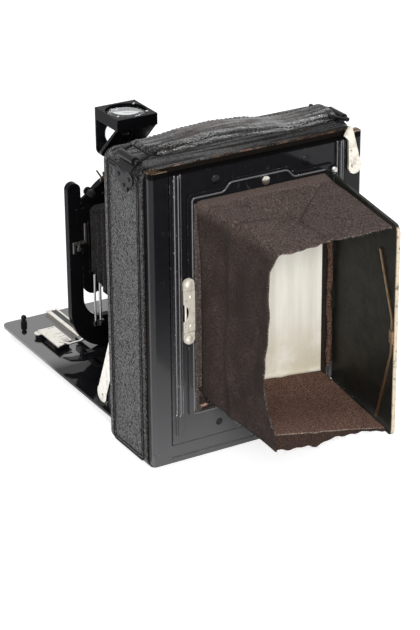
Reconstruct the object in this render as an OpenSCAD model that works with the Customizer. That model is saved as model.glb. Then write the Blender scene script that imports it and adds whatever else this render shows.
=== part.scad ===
// Folding plate camera with its bed let down, lens standard run out and focusing hood open.
// Lengths are millimetres. +X is the side with the focusing scale, +Y is the back (focusing side),
// -Y is the lens side, +Z is up. The origin is the middle of the base the camera stands on.

/* [Body] */
// Width over the leather
body_w = 117; // [114:0.5:124]
// Height over the leather
body_h = 152; // [151:0.5:158]
// Depth of the leather covered box
body_d = 36; // [35:0.5:42]
// Radius of the long corners that run from front to back
body_r = 6; // [4:0.5:8]
// Thickness of the leather
leather_t = 0.8; // [0.5:0.1:1.2]
// Side walls of the box
side_wall = 6.5; // [5:0.1:6.8]
// Top wall of the box
top_wall = 5; // [4:0.1:5.2]
// Bottom wall of the box
base_wall = 5.4; // [5:0.1:5.8]
// Depth of the front rebate that the bed shuts into
rebate_d = 1.6; // [1:0.1:2.5]
// Thickness of the plate that closes the box at the back
gate_t = 2.4; // [1.5:0.1:3]
// From the leather's side to the picture opening
gate_in = 15.5; // [14.5:0.1:18]
// Height of the picture opening
gate_h = 114; // [108:0.5:116]

/* [Rails at the back] */
// How far the rails stand in from the leather's sides
rail_in = 1.4; // [1.3:0.1:2.5]
// How far the rails stand behind the box
rail_d = 5.5; // [5:0.1:7]
// From the leather's side to the slot in which the focusing back slides
slot_in = 8.2; // [7.5:0.1:8.5]
// From the leather's side to the lips of the rails
lip_in = 10.8; // [10:0.1:11.5]
// Thickness of the lips
lip_t = 1.3; // [1:0.1:1.6]
// Height of the bottom rail's lower edge
rail_foot = 3.5; // [2:0.1:5]
// Height at which the side rails start
rail_z0 = 9.4; // [8:0.1:10]

/* [Focusing back] */
// Height of the focusing back
back_h = 138.1; // [136:0.1:138.4]
// Thickness of its plate
back_t = 5.6; // [5.4:0.1:6]
// Height of its raised outer bars
bar_rise = 1.8; // [1:0.1:2]
// From the leather's side to the ground glass
glass_in = 15.5; // [14.5:0.1:16.5]
// Height of the ground glass
glass_h = 116; // [112:0.5:118]
// Thickness of the ground glass
glass_t = 1.6; // [1.2:0.1:1.8]
// From the leather's side to the window, on the side of the lid's hinge
window_in = 20.9; // [20.5:0.1:22.5]
// From the leather's side to the window, on the side of the catch
catch_in = 28.3; // [27.5:0.1:29.5]
// Width of the felt strip beside the hood's cloth
felt_w = 3.8; // [2:0.1:4.2]
// Lower edge of the window
window_z0 = 28; // [26:0.5:30]
// Upper edge of the window
window_z1 = 135.2; // [132:0.1:135.6]

/* [Hood] */
// How much wider the lid is than the window in the plate
lid_more = 2.2; // [0.5:0.1:3]
// Height of the lid
lid_h = 105; // [100:0.5:106]
// Thickness of the lid
lid_t = 1.1; // [0.8:0.1:1.3]
// Angle through which the lid stands open
lid_open = 81.4; // [70:0.1:90]
// Depth of the lid's turned edge
lid_rim = 0.4; // [0.2:0.05:0.45]
// Thickness of the hood's cloth
cloth_t = 1.1; // [0.8:0.1:1.5]

/* [Bed] */
// From the leather's side to the bed's edge
bed_in = 5.9; // [5.5:0.1:7]
// Length of the bed
bed_len = 137; // [132:0.5:142]
// Height of the bed's top face
bed_z = 7.3; // [7.1:0.1:8]
// Thickness of the bed plate
bed_t = 1.5; // [1.2:0.1:1.6]
// Distance between the outer faces of the tracks
track_out = 53; // [50:0.5:55]
// Width of one track
track_w = 6.5; // [5:0.1:8]
// Height of the tracks
track_h = 2; // [1.5:0.1:2.2]

/* [Lens standard] */
// Distance of the standard's front face from the middle of the box
standard_y = 98; // [94:0.5:102]
// Width over the upright frame
frame_w = 80.6; // [79:0.1:82]
// Height of the upright frame's tips
frame_top = 104.6; // [100:0.1:107]
// Width of one upright
upright_w = 7.2; // [5:0.1:7.4]
// Thickness of the upright frame
upright_t = 4; // [3:0.1:4.6]
// Radius of its lower corners
frame_r = 22; // [16:0.5:26]
// Thickness of the lens board
board_t = 1.8; // [1.4:0.1:3.2]
// Height of the lens axis
axis_z = 74; // [72:0.5:78]
// Height of the lens board's gable
board_top = 106.4; // [104:0.1:107.2]
// Height of the lens board's lower edge
board_foot = 45; // [43.5:0.1:47]
// Radius of the shutter case
shutter_r = 27; // [24:0.5:28]
// Depth of the shutter case
shutter_d = 15; // [12:0.5:18]
// Radius of the lens rim that takes slip-on filters
rim_r = 16; // [13:0.5:18]

/* [Bellows] */
// Number of pleats
pleats = 13; // [8:1:16]
// Depth of one pleat
pleat_d = 3.4; // [2:0.1:4]

/* [Finder] */
// Width of the finder
finder_w = 22.7; // [20:0.1:23]
// Depth of the finder
finder_d = 24; // [22:0.5:25]
// Middle of the finder across the camera
finder_x = 6.8; // [0:0.1:9]
// Height of the finder's top
finder_top = 138.5; // [136:0.1:139]

/* [Handle] */
// Width of the carrying strap
strap_w = 24; // [20:0.5:25]
// From the leather's side to the end of the carrying strap
strap_in = 7.5; // [7:0.1:12.5]
// Height of the strap's upper face at its middle
strap_top = 160; // [158:0.1:164]

/* [Fits] */
// Clearance of a hinge pin in its bore, on the radius
pin_fit = 0.05; // [0.02:0.01:0.08]
// Clearance between sliding parts
slide_gap = 0.3; // [0.2:0.05:0.35]
// Radius of the tripod bushes' bores
tripod_r = 3.95; // [3.5:0.05:4.5]

/* [Hidden] */
$fn = 48;
eps = 0.01;
shell_w = body_w - 2 * leather_t;
shell_r = body_r - leather_t;
cav_x = body_w / 2 - leather_t - side_wall;
cav_z0 = leather_t + base_wall;
cav_z1 = body_h - leather_t - top_wall;
back_y = body_d / 2;
front_y = -body_d / 2;
gate_mid_z = (cav_z0 + cav_z1) / 2 + 2.8;
rebate_z0 = 3.9;
rebate_z1 = body_h - 3.5;
rail_top = body_h - 0.3;
rail_back = back_y + rail_d;
rail_x = body_w / 2 - rail_in;
slot_x = body_w / 2 - slot_in;
lip_x = body_w / 2 - lip_in;
gate_w = body_w - 2 * gate_in;
glass_w = body_w - 2 * glass_in;
window_x0 = -body_w / 2 + window_in;
window_x1 = body_w / 2 - catch_in;
strap_half = body_w / 2 - strap_in;
bed_w = body_w - 2 * bed_in;
bed_hinge_x = bed_w / 2 - 8.6;
lid_w = window_x1 - window_x0 + lid_more;

// The focusing back stands in the slot on the bottom rail
plate_y0 = back_y + 0.4;
plate_y1 = plate_y0 + back_t;
tongue_z0 = rail_z0 + 1.6;
back_z0 = tongue_z0 + 2.1;
back_z1 = tongue_z0 + back_h;
tongue_t = rail_d - lip_t - 0.4 - slide_gap;
tongue_x = slot_x - slide_gap;
bar_y = plate_y1 + bar_rise;
base_ring_y = plate_y1 + 1.5;
ring_x0 = window_x0 - 3.9;
ring_x1 = window_x1 + felt_w + 5;
ring_z0 = window_z0 - 0.2;
ring_z1 = window_z1 + 4;
jog_mid = (window_x0 + window_x1) / 2 + 2.9;
jog_x = 15.4;
jog_z = ring_z1 + 3.4;
button_x = (window_x0 + window_x1) / 2 + 1.5;
button_z = ring_z1 - 0.7;
button_r = 2.1;
button_travel = 1.2;

// The lid turns about a long pin beside the window
hinge_x = window_x0 - 2;
hinge_y = plate_y1 + 2.5;
hinge_r = 1.6;
pin_r = 0.9;
lid_z0 = window_z0 + 1.2;
lid_z1 = lid_z0 + lid_h;
lid_in = -0.5;
knuckle_h = 9;
catch_x = ring_x1 + 0.3;
catch_z = (lid_z0 + lid_z1) / 2 + 0.2;

bed_y0 = front_y - 0.3;
bed_y1 = bed_y0 - bed_len + 0.3;
bed_under = bed_z - bed_t;
track_x1 = track_out / 2;
track_x0 = track_x1 - track_w;
track_top = bed_z + track_h;
brace_x = bed_w / 2 - 2.2;

sled_z = track_top + 0.2;
sled_t = 2;
sled_y0 = -standard_y - 14;
sled_y1 = -standard_y + 19;
std_y0 = -standard_y;
std_y1 = std_y0 + upright_t;
arm_in = frame_w / 2 - upright_w;
board_x = arm_in - slide_gap;
frame_foot = sled_z + sled_t;
sill_z = frame_foot + 17.5;
board_y1 = std_y1 - slide_gap;
board_y0 = board_y1 - board_t;
case_y = board_y0 - shutter_d;
cell_r = 13;
bellows_z = axis_z - 0.8;
bellows_h = 37.4;
bell_frame_t = 2.2;
bell_front = std_y1 + bell_frame_t + 0.3;
bell_rear = back_y - gate_t - slide_gap;
finder_y0 = -standard_y - 6.9;
finder_foot = 112;
finder_lid = 6;
finder_piv_z = 120;
finder_r = 5;
knob_x = 28.2;
knob_z = 98.4;
dial_r = 4.4;
dial_z = axis_z + 22;

// A rectangle with round corners, centred
module round_rect(w, h, r) {
    square([w - 2 * r, h], center = true);
    square([w, h - 2 * r], center = true);
    for (sx = [-1, 1])
        for (sz = [-1, 1])
            translate([sx * (w / 2 - r), sz * (h / 2 - r)])
                circle(r = r);
}

// Stands a flat outline of x and z up, and gives it a depth from y0 to y1
module upright(y0, y1) {
    translate([0, y1, 0])
        rotate([90, 0, 0])
            linear_extrude(y1 - y0)
                children();
}

// A box from its lowest to its highest corner
module box(a, b) {
    translate(a)
        cube(b - a);
}

// A round bar along Y
module bar_y(x, z, r, y0, y1) {
    translate([x, y1, z])
        rotate([90, 0, 0])
            cylinder(r = r, h = y1 - y0);
}

// A round bar along X
module bar_x(y, z, r, x0, x1) {
    translate([x0, y, z])
        rotate([0, 90, 0])
            cylinder(r = r, h = x1 - x0);
}

// A domed rivet head that stands out along Y from a face
module rivet_y(x, z, r, y0, h) {
    translate([x, y0, z])
        rotate([-90, 0, 0])
            rotate_extrude()
                intersection() {
                    translate([0, h - (r * r + h * h) / (2 * h)])
                        circle(r = (r * r + h * h) / (2 * h));
                    square([r, h]);
                }
}

// A closed sheet of nu by nv cells: mid gives the middle surface, half the step to its upper face
module sheet(nu, nv, mid, half) {
    top = [for (i = [0:nu]) for (j = [0:nv]) mid(i / nu, j / nv) + half(i / nu, j / nv)];
    low = [for (i = [0:nu]) for (j = [0:nv]) mid(i / nu, j / nv) - half(i / nu, j / nv)];
    n = (nu + 1) * (nv + 1);
    at = function(i, j) i * (nv + 1) + j;
    polyhedron(
        points = concat(top, low),
        faces = concat(
            [for (i = [0:nu - 1]) for (j = [0:nv - 1]) each [
                [at(i, j), at(i + 1, j), at(i + 1, j + 1)],
                [at(i, j), at(i + 1, j + 1), at(i, j + 1)],
                [n + at(i, j), n + at(i + 1, j + 1), n + at(i + 1, j)],
                [n + at(i, j), n + at(i, j + 1), n + at(i + 1, j + 1)]]],
            [for (i = [0:nu - 1]) each [
                [at(i, 0), n + at(i, 0), n + at(i + 1, 0)],
                [at(i, 0), n + at(i + 1, 0), at(i + 1, 0)],
                [at(i, nv), n + at(i + 1, nv), n + at(i, nv)],
                [at(i, nv), at(i + 1, nv), n + at(i + 1, nv)]]],
            [for (j = [0:nv - 1]) each [
                [at(0, j), n + at(0, j + 1), n + at(0, j)],
                [at(0, j), at(0, j + 1), n + at(0, j + 1)],
                [at(nu, j), n + at(nu, j), n + at(nu, j + 1)],
                [at(nu, j), n + at(nu, j + 1), at(nu, j + 1)]]]),
        convexity = 6);
}

// Outline of the leather covered box, seen from the front
module body_outline(inset) {
    translate([0, body_h / 2])
        round_rect(body_w - 2 * inset, body_h - 2 * inset, body_r - inset);
}

// Wooden box, open in front, with holes for the tripod bushes
module body_shell() {
    color("#2a2420")
        difference() {
            upright(front_y, back_y)
                body_outline(leather_t);
            box([-cav_x, front_y - 1, cav_z0], [cav_x, back_y + 1, cav_z1]);
            box([-bed_w / 2 - 0.7, front_y - 1, rebate_z0],
                [bed_w / 2 + 0.7, front_y + rebate_d, rebate_z1]);
            translate([0, tripod_y, -1])
                cylinder(r = bush_r, h = cav_z0 + 2);
            bar_x(0, body_h / 2, bush_r, -body_w, -cav_x + 1);
        }
}
tripod_y = 8;
bush_r = tripod_r + 2.4;

// Leather over the top and both sides
module leather_cover() {
    color("#1d1a19")
        difference() {
            upright(front_y, back_y)
                body_outline(0);
            upright(front_y - 1, back_y + 1)
                body_outline(leather_t);
            box([-body_w, front_y - 1, -1], [body_w, back_y + 1, leather_t]);
            bar_x(0, body_h / 2, bush_r + 0.05, -body_w, -cav_x);
        }
}

// Leather under the base
module base_leather() {
    color("#1d1a19")
        difference() {
            intersection() {
                upright(front_y, back_y)
                    body_outline(0);
                box([-body_w, front_y, 0], [body_w, back_y, leather_t]);
            }
            upright(front_y - 1, back_y + 1)
                body_outline(leather_t);
            translate([0, tripod_y, -1])
                cylinder(r = bush_r + 0.05, h = 3);
        }
}

// Black plate with the picture opening
module rear_gate() {
    color("#141414")
        difference() {
            box([-cav_x, back_y - gate_t, cav_z0], [cav_x, back_y, cav_z1]);
            translate([0, back_y, gate_mid_z])
                cube([gate_w, 3 * gate_t, gate_h], center = true);
        }
}

// One side rail: a thick wall with a lip over the slot and a rounded outer edge
module side_rail(side) {
    r = 1.8;
    color("#101012")
        mirror([side < 0 ? 1 : 0, 0, 0])
            translate([0, 0, rail_z0])
                linear_extrude(rail_top - rail_z0)
                    union() {
                        translate([slot_x, back_y])
                            square([rail_x - slot_x, rail_d - r]);
                        translate([lip_x, rail_back - lip_t])
                            square([rail_x - r - lip_x, lip_t]);
                        translate([slot_x, back_y])
                            square([rail_x - r - slot_x, rail_d]);
                        translate([rail_x - r, rail_back - r])
                            circle(r = r);
                    }
}
module left_rail() {
    side_rail(1);
}
module right_rail() {
    side_rail(-1);
}

// Rail below the focusing back, with its lip between the side rails
module bottom_rail() {
    color("#101012") {
        difference() {
            union() {
                box([-rail_x, back_y, rail_foot], [rail_x, rail_back, rail_z0]);
                box([-lip_x, rail_back - lip_t, rail_z0 - eps], [lip_x, rail_back, back_z0 - 0.6]);
                box([-slot_x + 0.2, back_y, rail_z0 - eps],
                    [slot_x - 0.2, rail_back - lip_t + eps, tongue_z0 - 0.3]);
            }
            translate([0, rail_back, rail_foot + 2.6])
                rotate([45, 0, 0])
                    cube([2 * lip_x, 0.8, 0.8], center = true);
        }
    }
}

// Handle loops: two bars along Y joined by two short bars
loop_x_in = strap_half - 3.6;
loop_x_out = body_w / 2 - 2.1;
loop_z = body_h + 1.6;
loop_z_in = body_h + 4.6;
loop_r = 1.1;
loop_half = 9.3;
loop_y = 2.6;
strap_y = 4;
module strap_loops() {
    d = [loop_x_out, loop_z] - [loop_x_in, loop_z_in];
    color("#2b2b2b")
        for (side = [-1, 1])
            mirror([side < 0 ? 1 : 0, 0, 0]) {
                bar_y(loop_x_in, loop_z_in, loop_r, loop_y - loop_half, loop_y + loop_half);
                bar_y(loop_x_out, loop_z, loop_r, loop_y - loop_half, loop_y + loop_half);
                for (y = [-1, 1])
                    translate([loop_x_in, loop_y + y * (loop_half - 1), loop_z_in])
                        rotate([0, 90 + atan2(loop_z_in - loop_z, loop_x_out - loop_x_in), 0])
                            cylinder(r = loop_r - 0.4, h = norm(d));
            }
}

// Anchor plates: three lobes with rivets on the side of the box, a tab over its corner
// and a curl round the loop
anchor_t = 0.8;
anchor_y = loop_y;
module strap_anchors() {
    color("#17171a")
        for (side = [-1, 1])
            mirror([side < 0 ? 1 : 0, 0, 0]) {
                difference() {
                    union() {
                        translate([body_w / 2, 0, 0])
                            rotate([90, 0, 90])
                                linear_extrude(anchor_t) {
                                    for (s = [-1, 1])
                                        translate([anchor_y + s * 4.8, body_h - 7.4])
                                            circle(r = 3.6);
                                    translate([anchor_y, body_h - 11.4])
                                        circle(r = 3.4);
                                    translate([anchor_y - 5.2, body_h - 11])
                                        square([10.4, 5]);
                                    translate([anchor_y - 6.2, body_h - 7.4])
                                        square([12.4, 7.4 - body_r]);
                                }
                        translate([body_w / 2 - body_r, anchor_y + 6.2, body_h - body_r])
                            rotate([90, 0, 0])
                                rotate_extrude(angle = 90)
                                    translate([body_r, 0])
                                        square([anchor_t, 12.4]);
                        bar_y(loop_x_out, loop_z, loop_r + pin_fit + 0.8, anchor_y - 6.2, anchor_y + 6.2);
                    }
                    bar_y(loop_x_out, loop_z, loop_r + pin_fit, anchor_y - 8, anchor_y + 8);
                    box([0, anchor_y - 8, 0], [body_w / 2 - body_r + 0.2, anchor_y + 8, body_h + 8]);
                }
                for (p = [[-4.8, 7.4], [4.8, 7.4], [0, 11.4]])
                    translate([body_w / 2 + anchor_t - eps, anchor_y + p[0], body_h - p[1]])
                        rotate([0, 90, 0])
                            cylinder(r1 = 1.4, r2 = 0.8, h = 0.6, $fn = 24);
            }
}

// Leather strap: crowned across, bowed along, swollen where it folds round the loops
module handle_strap() {
    swell = function(x) exp(-pow((abs(x) - strap_half + 5) / 6, 2));
    bow = function(x)
        0.9 * exp(-pow((x - 12) / 20, 2)) - 2.9 * exp(-pow((x + 30) / 18, 2))
        - 0.7 * exp(-pow((x - 40) / 14, 2));
    wide = function(x) strap_w / 2 - 3 * pow(abs(x) / strap_half, 3);
    mid_y = function(x) strap_y - 2 * pow(abs(x) / strap_half, 3);
    thick = function(x) 1.7 + 0.8 * swell(x);
    color("#262120")
        sheet(40, 8,
            function(u, v)
                let(x = strap_half * (2 * u - 1), w = 2 * v - 1)
                [x, mid_y(x) + w * wide(x), strap_top - thick(x) + bow(x) - 0.3 * swell(x) - 0.9 * w * w],
            function(u, v)
                let(x = strap_half * (2 * u - 1), w = 2 * v - 1)
                [0, 0, thick(x) * (1 - 0.6 * pow(w, 4))]);
}

// Threaded bushes for a tripod screw, in the base and in the side
module tripod_bushes() {
    color("#b9b4a6") {
        translate([0, tripod_y, 0.2])
            difference() {
                cylinder(r = bush_r, h = cav_z0 - 0.2);
                translate([0, 0, -1])
                    cylinder(r = tripod_r, h = cav_z0 + 2);
            }
        difference() {
            bar_x(0, body_h / 2, bush_r, -body_w / 2, -cav_x);
            bar_x(0, body_h / 2, tripod_r, -body_w / 2 - 1, -cav_x + 1);
        }
    }
}

// Thin metal bed with two knuckles at its rear edge
hinge_bed_y = bed_y0 - 2.4;
hinge_bed_z = bed_z - 2.1;
bed_knuckle_r = 2.1;
bed_pin_r = 1.1;
module bed_plate() {
    r = 4;
    color("#0e0e10")
        difference() {
            union() {
                translate([0, 0, bed_under])
                    linear_extrude(bed_t) {
                        translate([-bed_w / 2, bed_y1 + r])
                            square([bed_w, bed_len - r - 1.6]);
                        translate([-bed_w / 2 + r, bed_y1])
                            square([bed_w - 2 * r, r + eps]);
                        for (s = [-1, 1])
                            translate([s * (bed_w / 2 - r), bed_y1 + r])
                                circle(r = r);
                    }
                for (s = [-1, 1])
                    bar_x(hinge_bed_y, hinge_bed_z, bed_knuckle_r, s * bed_hinge_x - 3, s * bed_hinge_x + 3);
            }
            for (s = [-1, 1]) {
                bar_x(hinge_bed_y, hinge_bed_z, bed_pin_r + pin_fit,
                        s * bed_hinge_x - 9, s * bed_hinge_x + 9);
                for (t = [-1, 1])
                    bar_x(hinge_bed_y, hinge_bed_z, bed_knuckle_r + 0.15,
                        s * bed_hinge_x + t * 5.3 - 2.1, s * bed_hinge_x + t * 5.3 + 2.1);
            }
        }
}

// Leather on the bed's outer face, which lies underneath when the bed is down
module bed_leather() {
    color("#1d1a19")
        box([-bed_w / 2 + 1, bed_y1 + 1, bed_under - leather_t],
            [bed_w / 2 - 1, hinge_bed_y - 3, bed_under]);
}

// Hinge leaves on the box, two knuckles on each side of each knuckle of the bed
module bed_hinges() {
    color("#16161a")
        for (s = [-1, 1])
            for (t = [-1, 1])
                difference() {
                    union() {
                        bar_x(hinge_bed_y, hinge_bed_z, bed_knuckle_r,
                            s * bed_hinge_x + t * 5.2 - 1.9, s * bed_hinge_x + t * 5.2 + 1.9);
                        box([s * bed_hinge_x + t * 5.2 - 1.9, hinge_bed_y, hinge_bed_z - bed_knuckle_r],
                            [s * bed_hinge_x + t * 5.2 + 1.9, front_y, rebate_z0 - 0.1]);
                    }
                    bar_x(hinge_bed_y, hinge_bed_z, bed_pin_r + pin_fit,
                        s * bed_hinge_x - 9, s * bed_hinge_x + 9);
                }
}

// Hinge pins of the bed, and the pins of the braces with their lugs on the bed
module bed_pins() {
    lug_x = brace_x - brace_t / 2 - 0.2;
    color("#c9c5b8")
        for (side = [-1, 1])
            mirror([side < 0 ? 1 : 0, 0, 0]) {
                bar_x(hinge_bed_y, hinge_bed_z, bed_pin_r, bed_hinge_x - 7.6,
                    bed_hinge_x + 7.6);
                bar_x(brace_low[0], brace_low[1], brace_pin_r, lug_x - 1, brace_x + brace_t / 2 + 0.5);
                box([lug_x - 1, brace_low[0] - 3, bed_z], [lug_x, brace_low[0] + 3, brace_low[1] + 1.6]);
                bar_x(brace_high[0], brace_high[1], brace_pin_r, brace_x - brace_t / 2 - 0.6, cav_x);
            }
}

// Braces that hold the bed level: flat strips from the bed's lugs to the inside of the box
brace_low = [-42, bed_z + 5.9];
brace_high = [-15, 77];
brace_t = 1;
brace_r = 4.6;
brace_pin_r = 0.9;
module bed_braces() {
    color("#d3cfc3")
        for (side = [-1, 1])
            mirror([side < 0 ? 1 : 0, 0, 0])
                translate([brace_x - brace_t / 2, 0, 0])
                    rotate([90, 0, 90])
                        linear_extrude(brace_t)
                            difference() {
                                union() {
                                    run = norm(brace_high - brace_low);
                                    rise = brace_high - brace_low;
                                    brace_turn = atan2(rise[1], rise[0]);
                                    for (p = [brace_low, brace_high])
                                        translate(p)
                                            circle(r = brace_r);
                                    translate(brace_low)
rotate(brace_turn)
                                            translate([0, -brace_r + 0.5])
                                                square([run, 2 * brace_r - 1]);
                                }
                                for (p = [brace_low, brace_high])
                                    translate(p)
                                        circle(r = brace_pin_r + pin_fit);
                            }
}

// One track: a bar with a groove along its inner edge
module track(y0, y1, z0) {
    for (side = [-1, 1])
        mirror([side < 0 ? 1 : 0, 0, 0])
            difference() {
                box([track_x0, y0, z0], [track_x1, y1, track_top]);
                box([track_x0 + 1, y0 - 1, track_top - 1], [track_x0 + 2.2, y1 + 1, track_top + 1]);
            }
}

// Nickel tracks on the bed, and the tracks that carry on inside the box
module bed_tracks() {
    color("#d8d4c8") {
        track(bed_y1 + 1, bed_y0 - 6, bed_z);
        track(front_y + rebate_d + 0.2, back_y - gate_t - 1, cav_z0);
    }
}

// Small stud near the bed's front corner, on which the shut bed locks
module bed_stud() {
    color("#101012")
        translate([bed_w / 2 - 9.8, bed_y1 + 7.7, bed_z])
            rotate_extrude() {
                square([1.7, 2.2]);
                square([1.1, 3.4]);
                translate([0, 4.3])
                    intersection() {
                        circle(r = 1.5);
                        translate([0, -1.5])
                            square([3, 3]);
                    }
            }
}

// Focusing scale: a nickel plate on a black block beside the track
scale_x0 = track_x1 + 6;
scale_w = 10;
scale_y0 = bed_y1 + 23.6;
scale_len = 24.6;
scale_z = bed_z + 2.4;
scale_t = 0.7;
module scale_plate() {
    color("#e6e1d2") {
        translate([scale_x0, scale_y0, scale_z])
            linear_extrude(scale_t)
                polygon([[0, 0], [scale_w, 0], [scale_w, scale_len], [0, scale_len - 4.4]]);
        translate([scale_x0 + scale_w + 0.4, scale_y0 + 2.2, scale_z - 0.5])
            cylinder(r = 2.4, h = 0.6);
    }
}
module scale_block() {
    color("#0d0d0f") {
        box([scale_x0 + 0.8, scale_y0 + 0.8, bed_z],
            [scale_x0 + scale_w - 0.8, scale_y0 + scale_len - 5.6, scale_z - 0.5]);
        box([scale_x0 + 0.8, scale_y0 + 7, bed_z + eps],
            [scale_x0 + scale_w - 0.8, scale_y0 + scale_len - 5.6, scale_z]);
        translate([scale_x0 + scale_w + 0.4, scale_y0 + 2.2, bed_z])
            cylinder(r = 1.8, h = scale_z - 0.5 - bed_z);
    }
}

// Bellows: pleats that taper from the back of the box to the lens standard
module bellows() {
    n = 2 * pleats;
    t = 0.5;
    rear_half = [cav_x - 8, (cav_z1 - cav_z0) / 2 - 14];
    front_half = [29.4, bellows_h / 2];
    rear_z = gate_mid_z;
    ring = function(i, inset)
        let(f = i / n,
            y = bell_rear + (bell_front - bell_rear) * f,
            d = (i % 2 == 0 ? 0 : pleat_d) + inset,
            w = rear_half[0] + (front_half[0] - rear_half[0]) * f - d,
            h = rear_half[1] + (front_half[1] - rear_half[1]) * f - d,
            z = rear_z + (bellows_z - rear_z) * f,
            c = 2 + (i % 2 == 0 ? 0 : 1.5))
        [for (p = [[w, -h + c], [w, h - c], [w - c, h], [-w + c, h],
                   [-w, h - c], [-w, -h + c], [-w + c, -h], [w - c, -h]])
            [p[0], y, z + p[1]]];
    m = 8;
    outer = [for (i = [0:n]) each ring(i, 0)];
    inner = [for (i = [0:n]) each ring(i, t + 0.4)];
    all = (n + 1) * m;
    color("#181515")
        polyhedron(
            points = concat(outer, inner),
            faces = concat(
                [for (i = [0:n - 1]) for (j = [0:m - 1]) let(k = (j + 1) % m) each [
                    [i * m + j, i * m + k, (i + 1) * m + k],
                    [i * m + j, (i + 1) * m + k, (i + 1) * m + j],
                    [all + i * m + j, all + (i + 1) * m + k, all + i * m + k],
                    [all + i * m + j, all + (i + 1) * m + j, all + (i + 1) * m + k]]],
                [for (j = [0:m - 1]) let(k = (j + 1) % m) each [
                    [j, all + k, k],
                    [j, all + j, all + k],
                    [n * m + j, n * m + k, all + n * m + k],
                    [n * m + j, all + n * m + k, all + n * m + j]]]),
            convexity = 10);
}

// Screw on which the back latch turns
latch_y = plate_y1 + 0.3;
latch_t = 1.3;
latch_x = -slot_x - 1.1;
latch_z = rail_top - 15.6;
latch_pin_r = 1.3;
module latch_screw() {
    color("#cfcabb") {
        bar_y(latch_x, latch_z, 2.4, rail_back, latch_y - 0.05);
        bar_y(latch_x, latch_z, latch_pin_r, rail_back, latch_y + latch_t + 0.06);
        rivet_y(latch_x, latch_z, 1.6, latch_y + latch_t + 0.05, 0.6);
    }
}

// Nickel latch with a beak that stands over the top of the focusing back
module back_latch() {
    color("#e2ddce")
        upright(latch_y, latch_y + latch_t)
            difference() {
                translate([latch_x, latch_z])
                    polygon(concat(
                        [[-3.9, 1.6], [-2.9, 4], [0.2, 15.4], [1.4, 19.3], [2.7, 19.6], [5.4, 15],
                            [4.2, 13.9], [3.2, 12.6]],
                        [for (a = [20:-12:-208]) [-0.6, -0.8] + 3.6 * [cos(a), sin(a)]]));
                translate([latch_x, latch_z])
                    circle(r = latch_pin_r + pin_fit);
                translate([latch_x + 1.7, latch_z + 7.5])
                    circle(r = 0.45);
            }
}

// Plate of the focusing back, with its tongues in the rails and raised bars at both sides
bar_x1 = lip_x - 1.9;
bar_x0 = bar_x1 - 3.9;
module focusing_frame() {
    color("#121214")
        difference() {
            union() {
                box([-tongue_x, plate_y0, tongue_z0], [tongue_x, plate_y0 + tongue_t, back_z1]);
                box([-lip_x + 0.5, plate_y0, back_z0], [lip_x - 0.5, plate_y1, back_z1]);
                for (s = [-1, 1]) {
                    x = s * (bar_x0 + bar_x1) / 2;
                    for (w = [[bar_x1 - bar_x0, bar_rise - 0.8], [bar_x1 - bar_x0 - 1.6, bar_rise]])
                        box([x - w[0] / 2, plate_y1 - eps, back_z0 + 5.3],
                            [x + w[0] / 2, plate_y1 + w[1], back_z1 - 1.2]);
                }
            }
            box([window_x0, plate_y0 - 1, window_z0], [window_x1, plate_y1 + 1, window_z1]);
            box([-glass_w / 2 - 0.2, plate_y0 - 1, glass_z0 - 0.2],
                [glass_w / 2 + 0.2, plate_y0 + clip_t + glass_t, glass_z0 + glass_h + 0.2]);
            bar_y(21.9, back_z0 + 6.1, 1.8, plate_y0 - 1, plate_y1 + 1);
            bar_y(button_x, button_z, button_r + 0.1, plate_y1 - 2.2, plate_y1 + 1);
            for (x = screw_x)
                bar_y(x, screw_z, 1, plate_y1 - 1, plate_y1 + 1);
        }
}
glass_z0 = (window_z0 + window_z1 - glass_h) / 2 + 1;
clip_t = 0.6;
screw_x = [window_x1 - 7.1, window_x0 + 12.2];
screw_z = back_z1 - 5.8;

// Raised frame that carries the hood, with a taller middle for the button and knuckles for the lid
module hood_base() {
    r = 3;
    color("#0f0f11")
        difference() {
            union() {
                upright(plate_y1, base_ring_y)
                    union() {
                        translate([ring_x0, ring_z0])
                            square([ring_x1 - ring_x0, ring_z1 - r - ring_z0]);
                        translate([ring_x0 + r, ring_z0])
                            square([ring_x1 - ring_x0 - 2 * r, ring_z1 - ring_z0]);
                        for (x = [ring_x0 + r, ring_x1 - r])
                            translate([x, ring_z1 - r])
                                circle(r = r);
                        polygon([[jog_mid - jog_x - 3.8, ring_z1 - 0.5], [jog_mid - jog_x - 3.4, ring_z1],
                            [jog_mid - jog_x, jog_z], [jog_mid + jog_x, jog_z],
                            [jog_mid + jog_x + 3.4, ring_z1],
                            [jog_mid + jog_x + 3.8, ring_z1 - 0.5]]);
                    }
                for (z = [lid_z0 - 0.5, lid_z1 + 0.5 - knuckle_h])
                    translate([hinge_x, hinge_y, z]) {
                        cylinder(r = hinge_r, h = knuckle_h);
                        translate([-hinge_r + 0.2, -hinge_y + base_ring_y - 0.3, 0])
                            cube([2 * hinge_r - 0.4, hinge_y - base_ring_y + 0.3, knuckle_h]);
                    }
            }
            box([window_x0, plate_y1 - 1, ring_z0 - 1], [window_x1 + felt_w, base_ring_y + 1, window_z1]);
            translate([hinge_x, hinge_y, lid_z0 - 5])
                cylinder(r = pin_r + pin_fit, h = lid_h + 10);
            translate([hinge_x, hinge_y, lid_z0 - 0.5 + knuckle_h])
                cylinder(r = hinge_r + 0.25, h = lid_h + 1 - 2 * knuckle_h);
            translate([hinge_x, hinge_y, lid_z1 + 0.4])
                cylinder(r = 2, h = 4);
            bar_y(button_x, button_z, button_r + 0.1, plate_y1 - 1, base_ring_y + 1);
        }
}

// Ground glass
module ground_glass() {
    color("#d9dcd4")
        box([-glass_w / 2, plate_y0 + clip_t, glass_z0],
            [glass_w / 2, plate_y0 + clip_t + glass_t, glass_z0 + glass_h]);
}

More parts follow.
